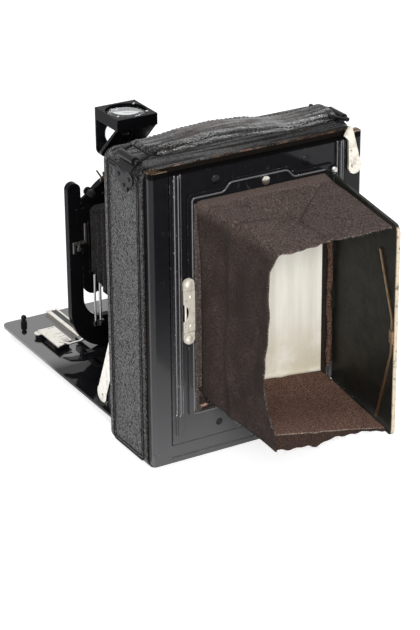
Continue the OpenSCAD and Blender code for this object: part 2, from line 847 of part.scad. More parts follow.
// Four flat spring clips that press the glass into the frame from in front
module glass_clips() {
    color("#cfcabb")
        for (sx = [-1, 1])
            for (z = [glass_z0 + 14, glass_z0 + glass_h - 22])
                translate([sx * (glass_w / 2 - 2.9), plate_y0, z])
                    translate([-3, 0, 0])
                        cube([6, clip_t, 8]);
}

// Felt strip between the raised frame and the hood's cloth
module hood_felt() {
    color("#b39a90")
        box([window_x1 + 1.7, plate_y1, window_z0 + 0.5],
            [window_x1 + felt_w - 0.1, plate_y1 + 0.5, window_z1 - 0.5]);
}

// Cloth rolled round a cord beside the lid's hinge
module hood_roll() {
    color("#4a3a30")
        translate([hinge_x + 2.4, hinge_y + 1.9, window_z0 + 8])
            cylinder(r = 1.2, h = window_z1 - window_z0 - 14);
}

// Black round-headed screws above the hood's frame
module frame_screws() {
    color("#1a1a1c")
        for (x = screw_x) {
            bar_y(x, screw_z, 1, plate_y1 - 1, plate_y1);
            rivet_y(x, screw_z, 2.3, plate_y1, 1.5);
        }
}

// End lugs of the side catch, with their rivets
catch_h = 20.6;
lug_h = 6;
catch_w = 5.7;
catch_y = base_ring_y + 0.2;
catch_pin_x = 1.6;
module catch_lugs() {
    color("#ddd8c8")
        for (s = [-1, 1])
            translate([catch_x, 0, catch_z + s * (catch_h / 2 + 0.3)]) {
                difference() {
                    union() {
                        upright(base_ring_y, catch_y + 1.2)
                            translate([0, s * (lug_h - catch_w / 2)])
                                circle(r = catch_w / 2);
                        box([-catch_w / 2, base_ring_y, s > 0 ? 0 : -lug_h + catch_w / 2],
                            [catch_w / 2, catch_y + 1.2, s > 0 ? lug_h - catch_w / 2 : 0]);
                        box([-0.2, plate_y1, s > 0 ? 0 : -3],
                            [bar_x0 - 0.2 - catch_x, base_ring_y + eps, s > 0 ? 3 : 0]);
                    }
                    translate([catch_pin_x, catch_y + 0.5, s > 0 ? -0.3 : -1.7])
                        cylinder(r = catch_pin_r + pin_fit, h = 2);
                    box([-catch_w, plate_y1 - 1, -lug_h], [-0.3 + eps, base_ring_y, lug_h]);
                }
                rivet_y(0, s * (lug_h - catch_w / 2), 1.8, catch_y + 1.2 - eps, 0.6);
            }
}
catch_pin_r = 0.5;

// Waisted rocking plate between the lugs, on two short pins
module side_catch() {
    w = catch_w / 2;
    color("#e4dfd0")
        translate([catch_x, 0, catch_z]) {
            upright(catch_y, catch_y + 1)
                difference() {
                    translate([-w - 0.3, -catch_h / 2])
                        square([2 * w + 0.2, catch_h]);
                    translate([w + 2.1, -0.8])
                        circle(r = 5.1);
                }
            translate([catch_pin_x, catch_y + 0.5, -catch_h / 2 - 1.4])
                cylinder(r = catch_pin_r, h = catch_h + 2.8);
            for (z = [-7.4, 7.2])
                rivet_y(-0.9, z, 0.8, catch_y + 1 - eps, 0.4);
        }
}

// Long pin of the lid's hinge with a small ball at its top
module lid_hinge_pin() {
    color("#cfcabb")
        translate([hinge_x, hinge_y, lid_z0 - 1.5]) {
            cylinder(r = pin_r, h = lid_h + 3);
            translate([0, 0, lid_h + 3.8])
                sphere(r = 1.7, $fn = 24);
        }
}

// Release button of the lid
module lid_button() {
    color("#ece8dc") {
        bar_y(button_x, button_z, button_r, plate_y1 - 0.6, base_ring_y + 1.2);
        rivet_y(button_x, button_z, button_r, base_ring_y + 1.2 - eps, 0.7);
    }
}

// Places what is drawn shut (width along X from the hinge, outside towards +Y) at the open angle
module lid_pose() {
    translate([hinge_x, hinge_y, 0])
        rotate(lid_open)
            children();
}

// Lid: a shallow black tray with rounded corners and one long knuckle
module hood_lid() {
    r = 4;
    x0 = hinge_r + 0.6;
    mid_z = (lid_z0 + lid_z1) / 2;
    color("#121212")
        lid_pose()
            difference() {
                union() {
                    difference() {
                        union() {
                            upright(lid_in - lid_rim, lid_in + lid_t)
                                translate([(x0 + lid_w) / 2, mid_z])
                                    round_rect(lid_w - x0, lid_h, r);
                            box([x0, lid_in - lid_rim, lid_z0], [x0 + r, lid_in + lid_t, lid_z1]);
                        }
                        upright(lid_in - lid_rim - 1, lid_in)
                            translate([(x0 + lid_w) / 2, mid_z])
                                round_rect(lid_w - x0 - 1.8, lid_h - 1.8, r - 0.9);
                        box([x0 - 1, lid_in - lid_rim - 1, lid_z0 + 0.9], [x0 + r, lid_in, lid_z1 - 0.9]);
                    }
                    translate([0, 0, lid_z0 + knuckle_h - 0.2])
                        cylinder(r = hinge_r, h = lid_h - 2 * knuckle_h + 0.4);
                    box([0, lid_in, lid_z0 + knuckle_h - 0.2],
                        [x0 + 1, lid_in + lid_t, lid_z1 - knuckle_h + 0.2]);
                }
                translate([0, 0, lid_z0 - 1])
                    cylinder(r = pin_r + pin_fit, h = lid_h + 2);
            }
}

// Brass strip springs on the lid's inner face, with the clip that holds them
module lid_springs() {
    strip = 1.6;
    mid = [lid_w - 2.6, (lid_z0 + lid_z1) / 2 - 2.4];
    color("#b87f4c")
        lid_pose() {
            for (s = [-1, 1])
                upright(lid_in - 0.8, lid_in) {
                    bend = [lid_w - 2.9, mid[1] + s * 9];
                    tip = [lid_w - 16.6, mid[1] + (s > 0 ? 37.6 : -46.4)];
                    run = (tip - bend) / norm(tip - bend);
                    across = s * strip / 2 * [run[1], -run[0]];
                    polygon([[mid[0] - strip / 2, mid[1]], [mid[0] + strip / 2, mid[1]],
                        bend + [strip / 2, -s * 0.4], tip + across, tip + run * 0.7, tip - across,
                        bend - [strip / 2, s * 0.4]]);
                }
            box([mid[0] - 1.5, lid_in - 1.2, mid[1] - 3.2], [mid[0] + 1.6, lid_in, mid[1] + 3.2]);
        }
}

// Shape of the hood: where its cloth starts at the frame and where its outer rim lies
cloth_y0 = plate_y1 + 0.6;
rim_y = hinge_y + (lid_w - 4.6) * sin(lid_open);
rim_x0 = hinge_x + (lid_w - 4.6) * cos(lid_open) + 1.9;
hood_x0 = hinge_x + 4.4;
hood_x1 = window_x1 + 0.9;
rim_x1 = hood_x1 + 0.3;
hood_top = window_z1 - 0.9;
rim_top = hood_top - 1.7;
side_low = window_z0 + 7.2;
fold = function(d, w) max(0, 1 - abs(d) / w);

// Top panel: creases run from the corners at the frame to the middle, and one goes on to the rim
module hood_top_cloth() {
    color("#3a2c24")
        sheet(24, 20,
            function(u, v)
                let(x0 = hood_x0 + (rim_x0 - hood_x0) * v,
                    x1 = hood_x1 + 0.5 + (rim_x1 - hood_x1) * v,
                    x = x0 + (x1 - x0) * u,
                    y = cloth_y0 + (rim_y - cloth_y0) * v,
                    crease = 1.3 * fold(u - 0.95 * v, 0.16) + 1 * fold(1 - u - 0.95 * v, 0.14))
                [x, y, hood_top + (rim_top - hood_top) * v - crease * sin(180 * v)
                    - 0.8 * sin(180 * v) * sin(180 * u) - 0.9 * v * fold(u - 0.8, 0.25)],
            function(u, v) [0, 0, cloth_t / 2]);
}

// Side panel: its outer hem is drawn in, and an upright fold runs down it
hem_in = function(v)
    lookup(v, [[0, 1], [0.09, 2], [0.24, 11.5], [0.34, 12.5], [0.48, 9.5], [0.7, 7], [0.9, 7], [1, 0.6]]);
module hood_side_cloth() {
    color("#33261f")
        sheet(24, 20,
            function(u, v)
                let(z1 = hood_top - cloth_t / 2 - 0.9 + (rim_top - hood_top - 1) * u,
                    y = cloth_y0 + (rim_y - hem_in(v) - cloth_y0) * u)
                [hood_x1 + (rim_x1 - hood_x1) * u - 0.9 * sin(180 * u) + 0.8 * fold(u - 0.42, 0.1)
                    + 0.4 * sin(180 * u) * sin(540 * v), y,
                    side_low + 3.6 * fold(u, 0.12) * (1 - v) + (z1 - side_low) * v],
            function(u, v) [cloth_t / 2, 0, 0]);
}

// Bottom panel: rises towards the side panel, and its outer hem is turned down there
flap = function(x) lookup(x, [[-20, 0.5], [-8.6, 1.3], [3, 3.4], [12, 6.2], [31, 7]]);
module hood_bottom_cloth() {
    turn = 0.92;
    color("#4a3a2c")
        sheet(20, 20,
            function(u, v)
                let(f = min(1, v / turn),
                    g = max(0, (v - turn) / (1 - turn)),
                    x0 = hood_x0 - 0.2 + (rim_x0 - hood_x0) * f,
                    x1 = hood_x1 - 1.3 + (rim_x1 - hood_x1) * f,
                    x = x0 + (x1 - x0) * u,
                    y = cloth_y0 + (rim_y - 1 - cloth_y0) * f + 0.8 * g,
                    z = window_z0 + 3.6 + 6.6 * pow(u, 0.9) + 5.4 * u * f)
                [x, y, z - 0.7 * sin(180 * u) * sin(180 * f) - flap(x) * g],
            function(u, v)
                let(a = v > turn ? 62 : v > turn - 0.04 ? 31 : 0)
                [0, cloth_t / 2 * sin(a), cloth_t / 2 * cos(a)]);
}

// Sled that runs on the tracks, with a front pull
module carriage() {
    color("#0e0e10")
        difference() {
            union() {
                box([-track_x1 - 3.4, sled_y0, sled_z], [track_x1 + 3.4, sled_y1, sled_z + sled_t]);
                for (side = [-1, 1])
                    box([side * (track_x1 + 1.9) - 1.4, sled_y0, sled_z - 1.4],
                        [side * (track_x1 + 1.9) + 1.4, sled_y1, sled_z + eps]);
            }
            translate([0, sled_y0, sled_z - 1])
                cylinder(r = 9, h = 2 * sled_t + 2);
        }
    color("#0e0e10")
        translate([clamp_x, clamp_y, sled_z + sled_t - eps]) {
            cylinder(r = clamp_bore - pin_fit, h = 1.5);
            translate([0, 0, 1.45])
                cylinder(r = 2.2, h = 0.7);
        }
}

// Upright frame: a U of flat metal with rounded tips and strongly rounded lower corners
module upright_frame() {
    w = frame_w / 2;
    ri = 12;
    color("#0b0b0d")
        upright(std_y0, std_y1)
            difference() {
                union() {
                    translate([-w, frame_foot + frame_r])
                        square([frame_w, frame_top - upright_w / 2 - frame_foot - frame_r]);
                    translate([-w + frame_r, frame_foot])
                        square([frame_w - 2 * frame_r, frame_r + eps]);
                    for (s = [-1, 1]) {
                        translate([s * (w - frame_r), frame_foot + frame_r])
                            circle(r = frame_r, $fn = 96);
                        translate([s * (w - upright_w / 2), frame_top - upright_w / 2])
                            circle(r = upright_w / 2);
                    }
                }
                translate([-arm_in, sill_z + ri])
                    square([2 * arm_in, frame_top]);
                translate([-arm_in + ri, sill_z])
                    square([2 * (arm_in - ri), ri + 1]);
                for (s = [-1, 1])
                    translate([s * (arm_in - ri), sill_z + ri])
                        circle(r = ri);
            }
}

// Frame that holds the front of the bellows, screwed behind the uprights by two ears
module bellows_frame() {
    color("#131315")
        upright(std_y1, std_y1 + bell_frame_t)
            difference() {
                union() {
                    translate([0, bellows_z])
                        square([61, bellows_h + 1], center = true);
                    translate([0, bellows_z + 14.4])
                        square([2 * arm_in + 8, 8], center = true);
                }
                translate([0, bellows_z])
                    square([50, bellows_h - 3], center = true);
            }
}

// Nickel clips behind the uprights
module board_clips() {
    z = axis_z - 2.6;
    color("#d9d4c6")
        for (side = [-1, 1])
            mirror([side < 0 ? 1 : 0, 0, 0]) {
                upright(std_y1, std_y1 + 0.8)
                    union() {
                        translate([30.9, z])
                            square([frame_w / 2 - 1.7 - 30.9, 1.6]);
                        translate([frame_w / 2 - 3.2, z - 4.4])
                            square([1.5, 6]);
                        translate([30.9, z])
                            square([1.1, 11]);
                        translate([30.7, z + 9.8])
                            square([1.3, 1.2]);
                        translate([35.2, z - 2.6])
                            circle(r = 1.2);
                        translate([34.6, z - 2.6])
                            square([1.2, 3]);
                    }
            }
}

// Guide rods of the rising front
rod_x = 27.4;
rod_r = 0.6;
module rise_rods() {
    color("#cfcabb")
        for (side = [-1, 1])
            for (p = [[rod_x, rod_r], [rod_x - 3, 0.8]]) {
                translate([side * p[0], std_y1 + 1.3, sill_z - 3])
                    cylinder(r = p[1], h = bellows_z - (bellows_h + 1) / 2 - sill_z + 3);
                box([side * p[0] - 1.2, std_y1, sill_z - 4],
                    [side * p[0] + 1.2, std_y1 + 2.6, sill_z - 1]);
            }
}

// Pointer over the focusing scale
module distance_pointer() {
    path = [[25, sled_y0 + 3.8], [30.7, sled_y0 + 6.7], [36.6, sled_y0 + 7.2], [40.2, sled_y0 + 2.4]];
    color("#e0dbcc")
        translate([0, 0, sled_z + sled_t])
            linear_extrude(0.6) {
                translate(path[0])
                    circle(r = 1.8);
                for (i = [0:2]) {
                    d = path[i + 1] - path[i];
                    translate(path[i])
                        rotate(atan2(d[1], d[0]))
                            translate([0, -0.6])
                                square([norm(d), 1.2]);
                    translate(path[i + 1])
                        circle(r = 0.6);
                }
            }
}

// Thumb lever that clamps the carriage
clamp_x = track_x1 - 0.5;
clamp_y = sled_y1 - 7;
clamp_bore = 1.2;
module clamp_lever() {
    z = sled_z + sled_t + 0.1;
    color("#101012") {
        difference() {
            union() {
                translate([clamp_x, clamp_y, z])
                    cylinder(r = 3.2, h = 1.2);
                translate([clamp_x, clamp_y, z])
                    linear_extrude(1.2)
                        polygon([[0, 3.1], [14, 3.5], [20, 0.5], [21.6, -5], [18, -2.5], [12, -2.3],
                            [0, -3.1]]);
                translate([clamp_x + 13.5, clamp_y + 0.8, z])
                    cylinder(r = 1.3, h = 7.8);
            }
            translate([clamp_x, clamp_y, z - 1])
                cylinder(r = clamp_bore, h = 4);
        }
    }
}

// Lens board: slides up and down between the uprights, and carries the finder's bracket
module lens_board() {
    lug_r = 5.8;
    color("#0c0c0e") {
        difference() {
            union() {
                upright(board_y0, board_y1) {
                    translate([-board_x, board_foot + 3])
                        square([2 * board_x, board_top - 14.2 - board_foot]);
                    translate([-board_x + 3, board_foot])
                        square([2 * board_x - 6, 4]);
                    for (s = [-1, 1])
                        translate([s * (board_x - lug_r), board_foot + 3.4])
                            circle(r = lug_r);
                    polygon([[-board_x, board_top - 11.3], [board_x, board_top - 11.3], [14, board_top],
                        [-14, board_top]]);
                    translate([knob_x, knob_z])
                        circle(r = 2.3);
                }
                upright(bracket_y0, bracket_y0 + bracket_t) {
                    translate([finder_x - 3.6, board_top - 9])
                        square([7.2, finder_piv_z - board_top + 9]);
                    translate([finder_x, finder_piv_z])
                        circle(r = 3.6);
                }
                box([finder_x - 4, board_y1 - eps, board_top - 7],
                    [finder_x + 4, bracket_y0 + eps, board_top - 2]);
            }
            bar_y(0, axis_z, cell_r - 2, board_y0 - 1, board_y1 + 1);
            bar_y(finder_x, finder_piv_z, pivot_r, bracket_y0 - 1, bracket_y0 + bracket_t + 1);
            bar_y(knob_x, knob_z, 0.95, board_y0 - 1, board_y1 + 1);
            for (p = [release_pivot, cocking_pivot])
                bar_y(p[0], p[1], lever_pin_r + pin_fit, board_y0 - 1, board_y1 + 1);
        }
    }
}
bracket_y0 = std_y1 + 3.9;
bracket_t = 1.2;
pivot_r = 1.2;

// Shutter case with the socket for a cable release
socket_x = 25.5;
socket_z = axis_z - 16;
socket_r = 1.6;
module shutter_case() {
    color("#15151a")
        difference() {
            union() {
                bar_y(0, axis_z, shutter_r, case_y, board_y0);
                bar_y(0, axis_z, shutter_r - 1.2, case_y - 0.6, board_y0);
                bar_x(case_y + 7, socket_z, 3, socket_x - 12, socket_x);
            }
            bar_y(0, axis_z, cell_r - 1.5, case_y - 2, board_y0 + 1);
            bar_y(0, dial_z, 1, case_y - 2, case_y + 3);
            bar_x(case_y + 7, socket_z, socket_r, socket_x - 6, socket_x + 1);
        }
}

// Barrel of the front lens with its stepped rim
module front_cell() {
    color("#1a1a1d")
        difference() {
            union() {
                bar_y(0, axis_z, rim_r, case_y - 13, case_y - 6.5);
                bar_y(0, axis_z, cell_r + 1.6, case_y - 6.6, case_y - 0.6);
                bar_y(0, axis_z, cell_r - 1.6, case_y - 1, case_y + 4);
            }
            bar_y(0, axis_z, 11, case_y - 14, case_y + 5);
            bar_y(0, axis_z, 13.4, case_y - 14, case_y - 9);
        }
}

// Barrel of the rear lens
module rear_cell() {
    color("#1a1a1d")
        difference() {
            union() {
                bar_y(0, axis_z, cell_r - 1.3, board_y1, board_y1 + 4.2);
                bar_y(0, axis_z, cell_r - 2.1, board_y1 - 3, board_y1 + 1);
            }
            bar_y(0, axis_z, 10, board_y1 - 4, board_y1 + 10);
        }
}

// A lens disc with one domed face
module lens_disc(r, t, dome) {
    rs = (r * r + dome * dome) / (2 * dome);
    rotate_extrude()
        union() {
            square([r, t]);
            intersection() {
                translate([0, t + dome - rs])
                    circle(r = rs, $fn = 96);
                translate([0, t - eps])
                    square([r, dome + 1]);
            }
        }
}

// Glass of the front and rear lenses
module lens_glasses() {
    color("#9fb0b8") {
        translate([0, case_y - 6, axis_z])
            rotate([90, 0, 0])
                lens_disc(11, 1.5, 2);
        translate([0, board_y1 + 0.5, axis_z])
            rotate([-90, 0, 0])
                lens_disc(10, 1.5, 1.6);
    }
}

// Knob that locks the rising front
module rise_knob() {
    color("#8d8a84") {
        bar_y(knob_x, knob_z, 0.9, board_y0 + 0.5, board_y1 + 1);
        bar_y(knob_x, knob_z, 2, board_y1 + 0.9, board_y1 + 3.6);
        rivet_y(knob_x, knob_z, 1.7, board_y1 + 3.6 - eps, 0.7);
    }
}

// Dial of the shutter speeds
module speed_dial() {
    color("#c9c5b8") {
        bar_y(0, dial_z, dial_r, case_y - 2.6, case_y - 0.7);
        bar_y(0, dial_z, 0.95, case_y - 0.8, case_y + 2);
        for (a = [0:30:330])
            translate([0, 0, dial_z])
                rotate([0, a, 0])
                    translate([dial_r - 0.2, case_y - 1.65, 0])
                        cube([0.7, 1.6, 0.9], center = true);
    }
}

// Ring round the front lens whose tab sets the aperture
module aperture_ring() {
    color("#b9b4a6")
        upright(case_y - 1.7, case_y - 0.7)
            difference() {
                union() {
                    translate([0, axis_z])
                        circle(r = 16.8);
                    translate([-1.2, axis_z - 22])
                        square([2.4, 6]);
                }
                translate([0, axis_z])
                    circle(r = cell_r + 1.6 + pin_fit);
            }
}

// Release and cocking levers: thin bent strips that turn on the lens board beside the shutter
release_pivot = [20.4, 96.4];
cocking_pivot = [15.4, 99.4];
lever_pin_r = 0.8;
lever_t = 0.6;
module thin_lever(pivot, bend, tip, y) {
    upright(y, y + lever_t) {
        translate(pivot)
            circle(r = 1.4);
        for (seg = [[pivot, bend], [bend, tip]]) {
            d = seg[1] - seg[0];
            translate(seg[0])
                rotate(atan2(d[1], d[0]))
                    translate([0, -0.4])
                        square([norm(d), 0.8]);
            translate(seg[1])
                circle(r = 0.4);
        }
    }
    bar_y(pivot[0], pivot[1], lever_pin_r, y + 0.1, board_y1 - 0.2);
}
module release_lever() {
    color("#c9a86a")
        thin_lever(release_pivot, [19.2, 103.4], [21.7, 107.4], board_y0 - 1.9);
}
module cocking_lever() {
    color("#c9a86a")
        thin_lever(cocking_pivot, [18.1, 102], [18.6, 106.3], board_y0 - 0.9);
}

// Finder: square top frame, front plate with a round window, and a sloping back that holds the mirror
slope_y0 = finder_y0 + 1.2;
slope_y1 = finder_y0 + finder_d - 1.8;
slope_z0 = finder_foot;
slope_z1 = finder_top - finder_lid;
module finder_case() {
    x0 = finder_x - finder_w / 2;
    x1 = finder_x + finder_w / 2;
    color("#0d0d0f")
        difference() {
            intersection() {
                upright(finder_y0 - 1, finder_y0 + finder_d + 1)
                    union() {
                        translate([x0, finder_foot + finder_r])
                            square([finder_w, finder_top - finder_foot]);
                        translate([x0 + finder_r, finder_foot - 1])
                            square([finder_w - 2 * finder_r, finder_r + 2]);
                        for (x = [x0 + finder_r, x1 - finder_r])
                            translate([x, finder_foot + finder_r])
                                circle(r = finder_r);
                    }
                union() {
                box([x0, finder_y0, slope_z1], [x1, finder_y0 + finder_d, finder_top]);
                box([x0, finder_y0, finder_foot], [x1, finder_y0 + 1.2, slope_z1 + eps]);
                translate([x0, 0, 0])
                    rotate([90, 0, 90])
                        linear_extrude(finder_w)
                            polygon([[slope_y0 - 0.5, slope_z0], [slope_y0 + 1, slope_z0],
                                [slope_y1 + 1.2, slope_z1 + 0.2],
                                [slope_y1 - 0.6, slope_z1 + 0.2], [slope_y0 - 0.5, slope_z0 + 1.1]]);
                bar_y(finder_x, finder_piv_z, 2.6, pivot_y0 - 0.6, bracket_y0 - 0.3);
                }
            }
            translate([finder_x, finder_y0 + finder_d / 2, finder_top - 2.6])
                cylinder(r = 10.5, h = 4);
            translate([finder_x, finder_y0 + finder_d / 2, slope_z1 - 1])
                cylinder(r = 9.7, h = 10);
            bar_y(finder_x, window_axis, 6.6, finder_y0 - 1, finder_y0 + 2);
            bar_y(finder_x, finder_piv_z, pivot_r + pin_fit, pivot_y0 + 0.5, bracket_y0 + 1);
        }
}
window_axis = finder_foot + 11.6;
pivot_y0 = slope_y0 + (finder_piv_z - slope_z0) * (slope_y1 - slope_y0) / (slope_z1 - slope_z0) + 1.4;

// Lenses of the finder
module finder_glasses() {
    color("#dfe8ec") {
        translate([finder_x, finder_y0 + finder_d / 2, finder_top - 2.6])
            lens_disc(10.4, 1, 1.8);
        translate([finder_x, finder_y0 + 1.3, window_axis])
            rotate([90, 0, 0])
                lens_disc(6.5, 1, 0.9);
    }
}

// Mirror on the sloping back
module finder_mirror() {
    rise = slope_z1 - slope_z0;
    run = slope_y1 - slope_y0;
    color("#c6ccd0")
        translate([finder_x - finder_w / 2 + 1.2, 0, 0])
            rotate([90, 0, 90])
                linear_extrude(finder_w - 2.4)
                    polygon([[slope_y0 + 1.2, slope_z0 + 2.9], [slope_y0 + 1.2, slope_z0 + 3.7],
                        [slope_y1 - 1.9, slope_z1 - 0.1], [slope_y1 - 1.1, slope_z1 - 0.1]]);
}

// Screw on which the finder turns
module finder_pivot() {
    color("#b8b4a8") {
        bar_y(finder_x, finder_piv_z, pivot_r, pivot_y0 + 1, bracket_y0 + bracket_t);
        rivet_y(finder_x, finder_piv_z, 2.1, bracket_y0 + bracket_t, 0.8);
    }
}

body_shell();
leather_cover();
base_leather();
rear_gate();
left_rail();
right_rail();
bottom_rail();
latch_screw();
handle_strap();
strap_loops();
strap_anchors();
tripod_bushes();
bed_plate();
bed_leather();
bed_hinges();
bed_pins();
bed_braces();
bed_tracks();
bed_stud();
scale_plate();
scale_block();
bellows();
back_latch();
focusing_frame();
hood_base();
ground_glass();
glass_clips();
hood_felt();
hood_roll();
frame_screws();
catch_lugs();
side_catch();
lid_hinge_pin();
lid_button();
hood_lid();
lid_springs();
hood_top_cloth();
hood_side_cloth();
hood_bottom_cloth();
carriage();
upright_frame();
board_clips();
bellows_frame();
rise_rods();
distance_pointer();
clamp_lever();
lens_board();
shutter_case();
front_cell();
rear_cell();
lens_glasses();
rise_knob();
speed_dial();
aperture_ring();
release_lever();
cocking_lever();
finder_case();
finder_glasses();
finder_mirror();
finder_pivot();
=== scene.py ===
# %% [markdown]
# # A folding plate camera, dressed in Blender
# The camera was first drawn as solids. This lesson gives those solids their real surfaces, and makes
# anew the pieces that are soft: handle, bellows, hood cloth, felt and piping. A soft piece could be
# sculpted by hand, but here each one is a formula on a grid of two parameters, so that its size is
# known and it can be made again exactly. Lengths in the formulas are millimetres.

# %% Load the frame
import math
import bpy
import numpy as np
from mathutils import Matrix, Vector


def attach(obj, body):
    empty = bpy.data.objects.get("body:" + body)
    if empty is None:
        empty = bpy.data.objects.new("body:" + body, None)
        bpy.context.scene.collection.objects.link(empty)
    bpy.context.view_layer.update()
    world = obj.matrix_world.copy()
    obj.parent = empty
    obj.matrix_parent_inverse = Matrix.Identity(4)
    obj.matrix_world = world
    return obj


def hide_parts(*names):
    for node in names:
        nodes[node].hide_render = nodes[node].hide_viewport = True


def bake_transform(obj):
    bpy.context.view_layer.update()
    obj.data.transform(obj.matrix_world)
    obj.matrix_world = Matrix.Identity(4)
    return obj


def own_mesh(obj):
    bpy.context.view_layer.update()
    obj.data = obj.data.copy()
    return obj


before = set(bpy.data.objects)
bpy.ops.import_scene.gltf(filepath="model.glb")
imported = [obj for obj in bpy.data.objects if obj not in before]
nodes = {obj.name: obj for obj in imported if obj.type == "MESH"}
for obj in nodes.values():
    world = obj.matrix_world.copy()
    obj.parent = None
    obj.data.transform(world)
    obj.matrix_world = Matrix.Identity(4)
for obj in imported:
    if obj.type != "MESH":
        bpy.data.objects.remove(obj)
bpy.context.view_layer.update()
MM = 0.001
rng = np.random.default_rng(11)

# %% [markdown]
# ## Grids of points become meshes
# A surface is an array of points, one for each pair of its two parameters. Its faces join each point
# with its neighbours, so they come from index sums and need no loop. The lengths along both
# parameters are kept as the UV map, in centimetres, for the patterns that follow the surface.

# %% A surface from a grid
def run_length(points, axis):
    """Length along one parameter, added up from point to point and averaged over the other."""
    step = np.linalg.norm(np.diff(points, axis=axis), axis=2).mean(axis=1 - axis)
    return np.concatenate([[0], np.cumsum(step)])


def mesh_piece(name, points, faces, finish, body, smooth=True, uv=None):
    """A mesh object from points in millimetres, riding on a body of the camera."""
    mesh = bpy.data.meshes.new(name)
    mesh.from_pydata((np.asarray(points, float) * MM).tolist(), [], faces)
    if uv is not None:
        corner = np.zeros(len(mesh.loops), np.int32)
        mesh.loops.foreach_get("vertex_index", corner)
        mesh.uv_layers.new(name="lengths").data.foreach_set("uv", uv[corner].ravel().astype(np.float32))
    mesh.polygons.foreach_set("use_smooth", [smooth] * len(mesh.polygons))
    mesh.materials.append(finish)
    mesh.update()
    piece = bpy.data.objects.new(name, mesh)
    bpy.context.scene.collection.objects.link(piece)
    if body:
        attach(piece, body)
    return piece


def surface(name, points, finish, body, round_i=False, round_j=False, caps=False):
    """Points [i, j] as quads. round_i and round_j join the last row or column to the first.
    caps closes both ends of a tube whose rings run along j."""
    ni, nj = points.shape[:2]
    i = np.arange(ni if round_i else ni - 1)[:, None]
    j = np.arange(nj if round_j else nj - 1)[None, :]
    i2, j2 = (i + 1) % ni, (j + 1) % nj
    quads = np.stack([i * nj + j, i2 * nj + j, i2 * nj + j2, i * nj + j2], -1).reshape(-1, 4)
    faces = quads.tolist()
    if caps:
        faces += [list(range(nj)), list(range((ni - 1) * nj, ni * nj))[::-1]]
    lengths = np.stack(np.meshgrid(run_length(points, 0), run_length(points, 1), indexing="ij"), -1) / 10
    return mesh_piece(name, points.reshape(-1, 3), faces, finish, body, uv=lengths.reshape(-1, 2))


def full_turn(count):
    """Angles evenly round a circle, without the last one, which would be the first again."""
    return np.linspace(0, 2 * np.pi, count, endpoint=False)


def tube(path, radius, sides=10):
    """Rings round a path: each ring stands across the path's direction. radius may change along it."""
    path = np.asarray(path, float)
    along = np.gradient(path, axis=0)
    along /= np.linalg.norm(along, axis=1, keepdims=True)
    up = np.where(np.abs(along[:, 2:]) > 0.9, [1.0, 0, 0], [0, 0, 1.0])
    side = np.cross(along, up)
    side /= np.linalg.norm(side, axis=1, keepdims=True)
    top = np.cross(side, along)
    turn = full_turn(sides)
    r = np.broadcast_to(radius, len(path))[:, None, None]
    c, s = np.cos(turn)[None, :, None], np.sin(turn)[None, :, None]
    return path[:, None] + r * (c * side[:, None] + s * top[:, None])


def closed_tube(name, path, radius, sides, finish, body):
    """A tube round a path, as a piece with both ends closed."""
    return surface(name, tube(path, radius, sides), finish, body, round_j=True, caps=True)


def thicken(piece, label, thickness, offset=0):
    """Gives a sheet a thickness in millimetres: offset 0 grows it to both sides, and -1 to one side."""
    wall = piece.modifiers.new(label, "SOLIDIFY")
    wall.thickness, wall.offset = thickness * MM, offset


def points_of(x, y, z):
    """Three arrays of coordinates, spread to one shape, become one array of points."""
    return np.stack(np.broadcast_arrays(x, y, z), -1)


def in_mm(piece):
    """Width, depth and height of a piece in millimetres."""
    return [round(float(v) / MM, 1) for v in piece.dimensions]


def copies(points, faces, places):
    """One small shape at many places: places [k, 4, 3] holds three axes and an origin for each copy."""
    points = np.asarray(points, float)
    all_points = np.einsum("pa,kab->kpb", points, places[:, :3]) + places[:, None, 3]
    shift = len(points) * np.arange(len(places))
    all_faces = [[c + int(s) for c in face] for s in shift for face in faces]
    return all_points.reshape(-1, 3), all_faces


BOX = np.array([[x, y, z] for x in (-0.5, 0.5) for y in (-0.5, 0.5) for z in (-0.5, 0.5)])
BOX_FACES = [[0, 1, 3, 2], [4, 6, 7, 5], [0, 4, 5, 1], [2, 3, 7, 6], [0, 2, 6, 4], [1, 5, 7, 3]]
print("a box for small marks has", len(BOX_FACES), "faces")


def bump_at(x, middle, width):
    """A smooth hill of height 1: e to the minus square of the distance over the width."""
    return np.exp(-(((x - middle) / width) ** 2))


def fold_at(x, width):
    """A straight-sided fold: 1 minus the distance from 0 over the width, and never below 0."""
    return np.maximum(0, 1 - np.abs(x) / width)


# %% [markdown]
# ## Finishes
# Each finish is one Principled shader. Its pattern reads the object's own coordinates, which on this
# camera are real metres, so a grain of 0.8 mm is a pattern scale of 1250. Metal edges on a real camera
# are never knife sharp: the Bevel node rounds them for the light, and the difference between its normal
# and the face's own normal tells where an edge is, so that paint can be worn off there.

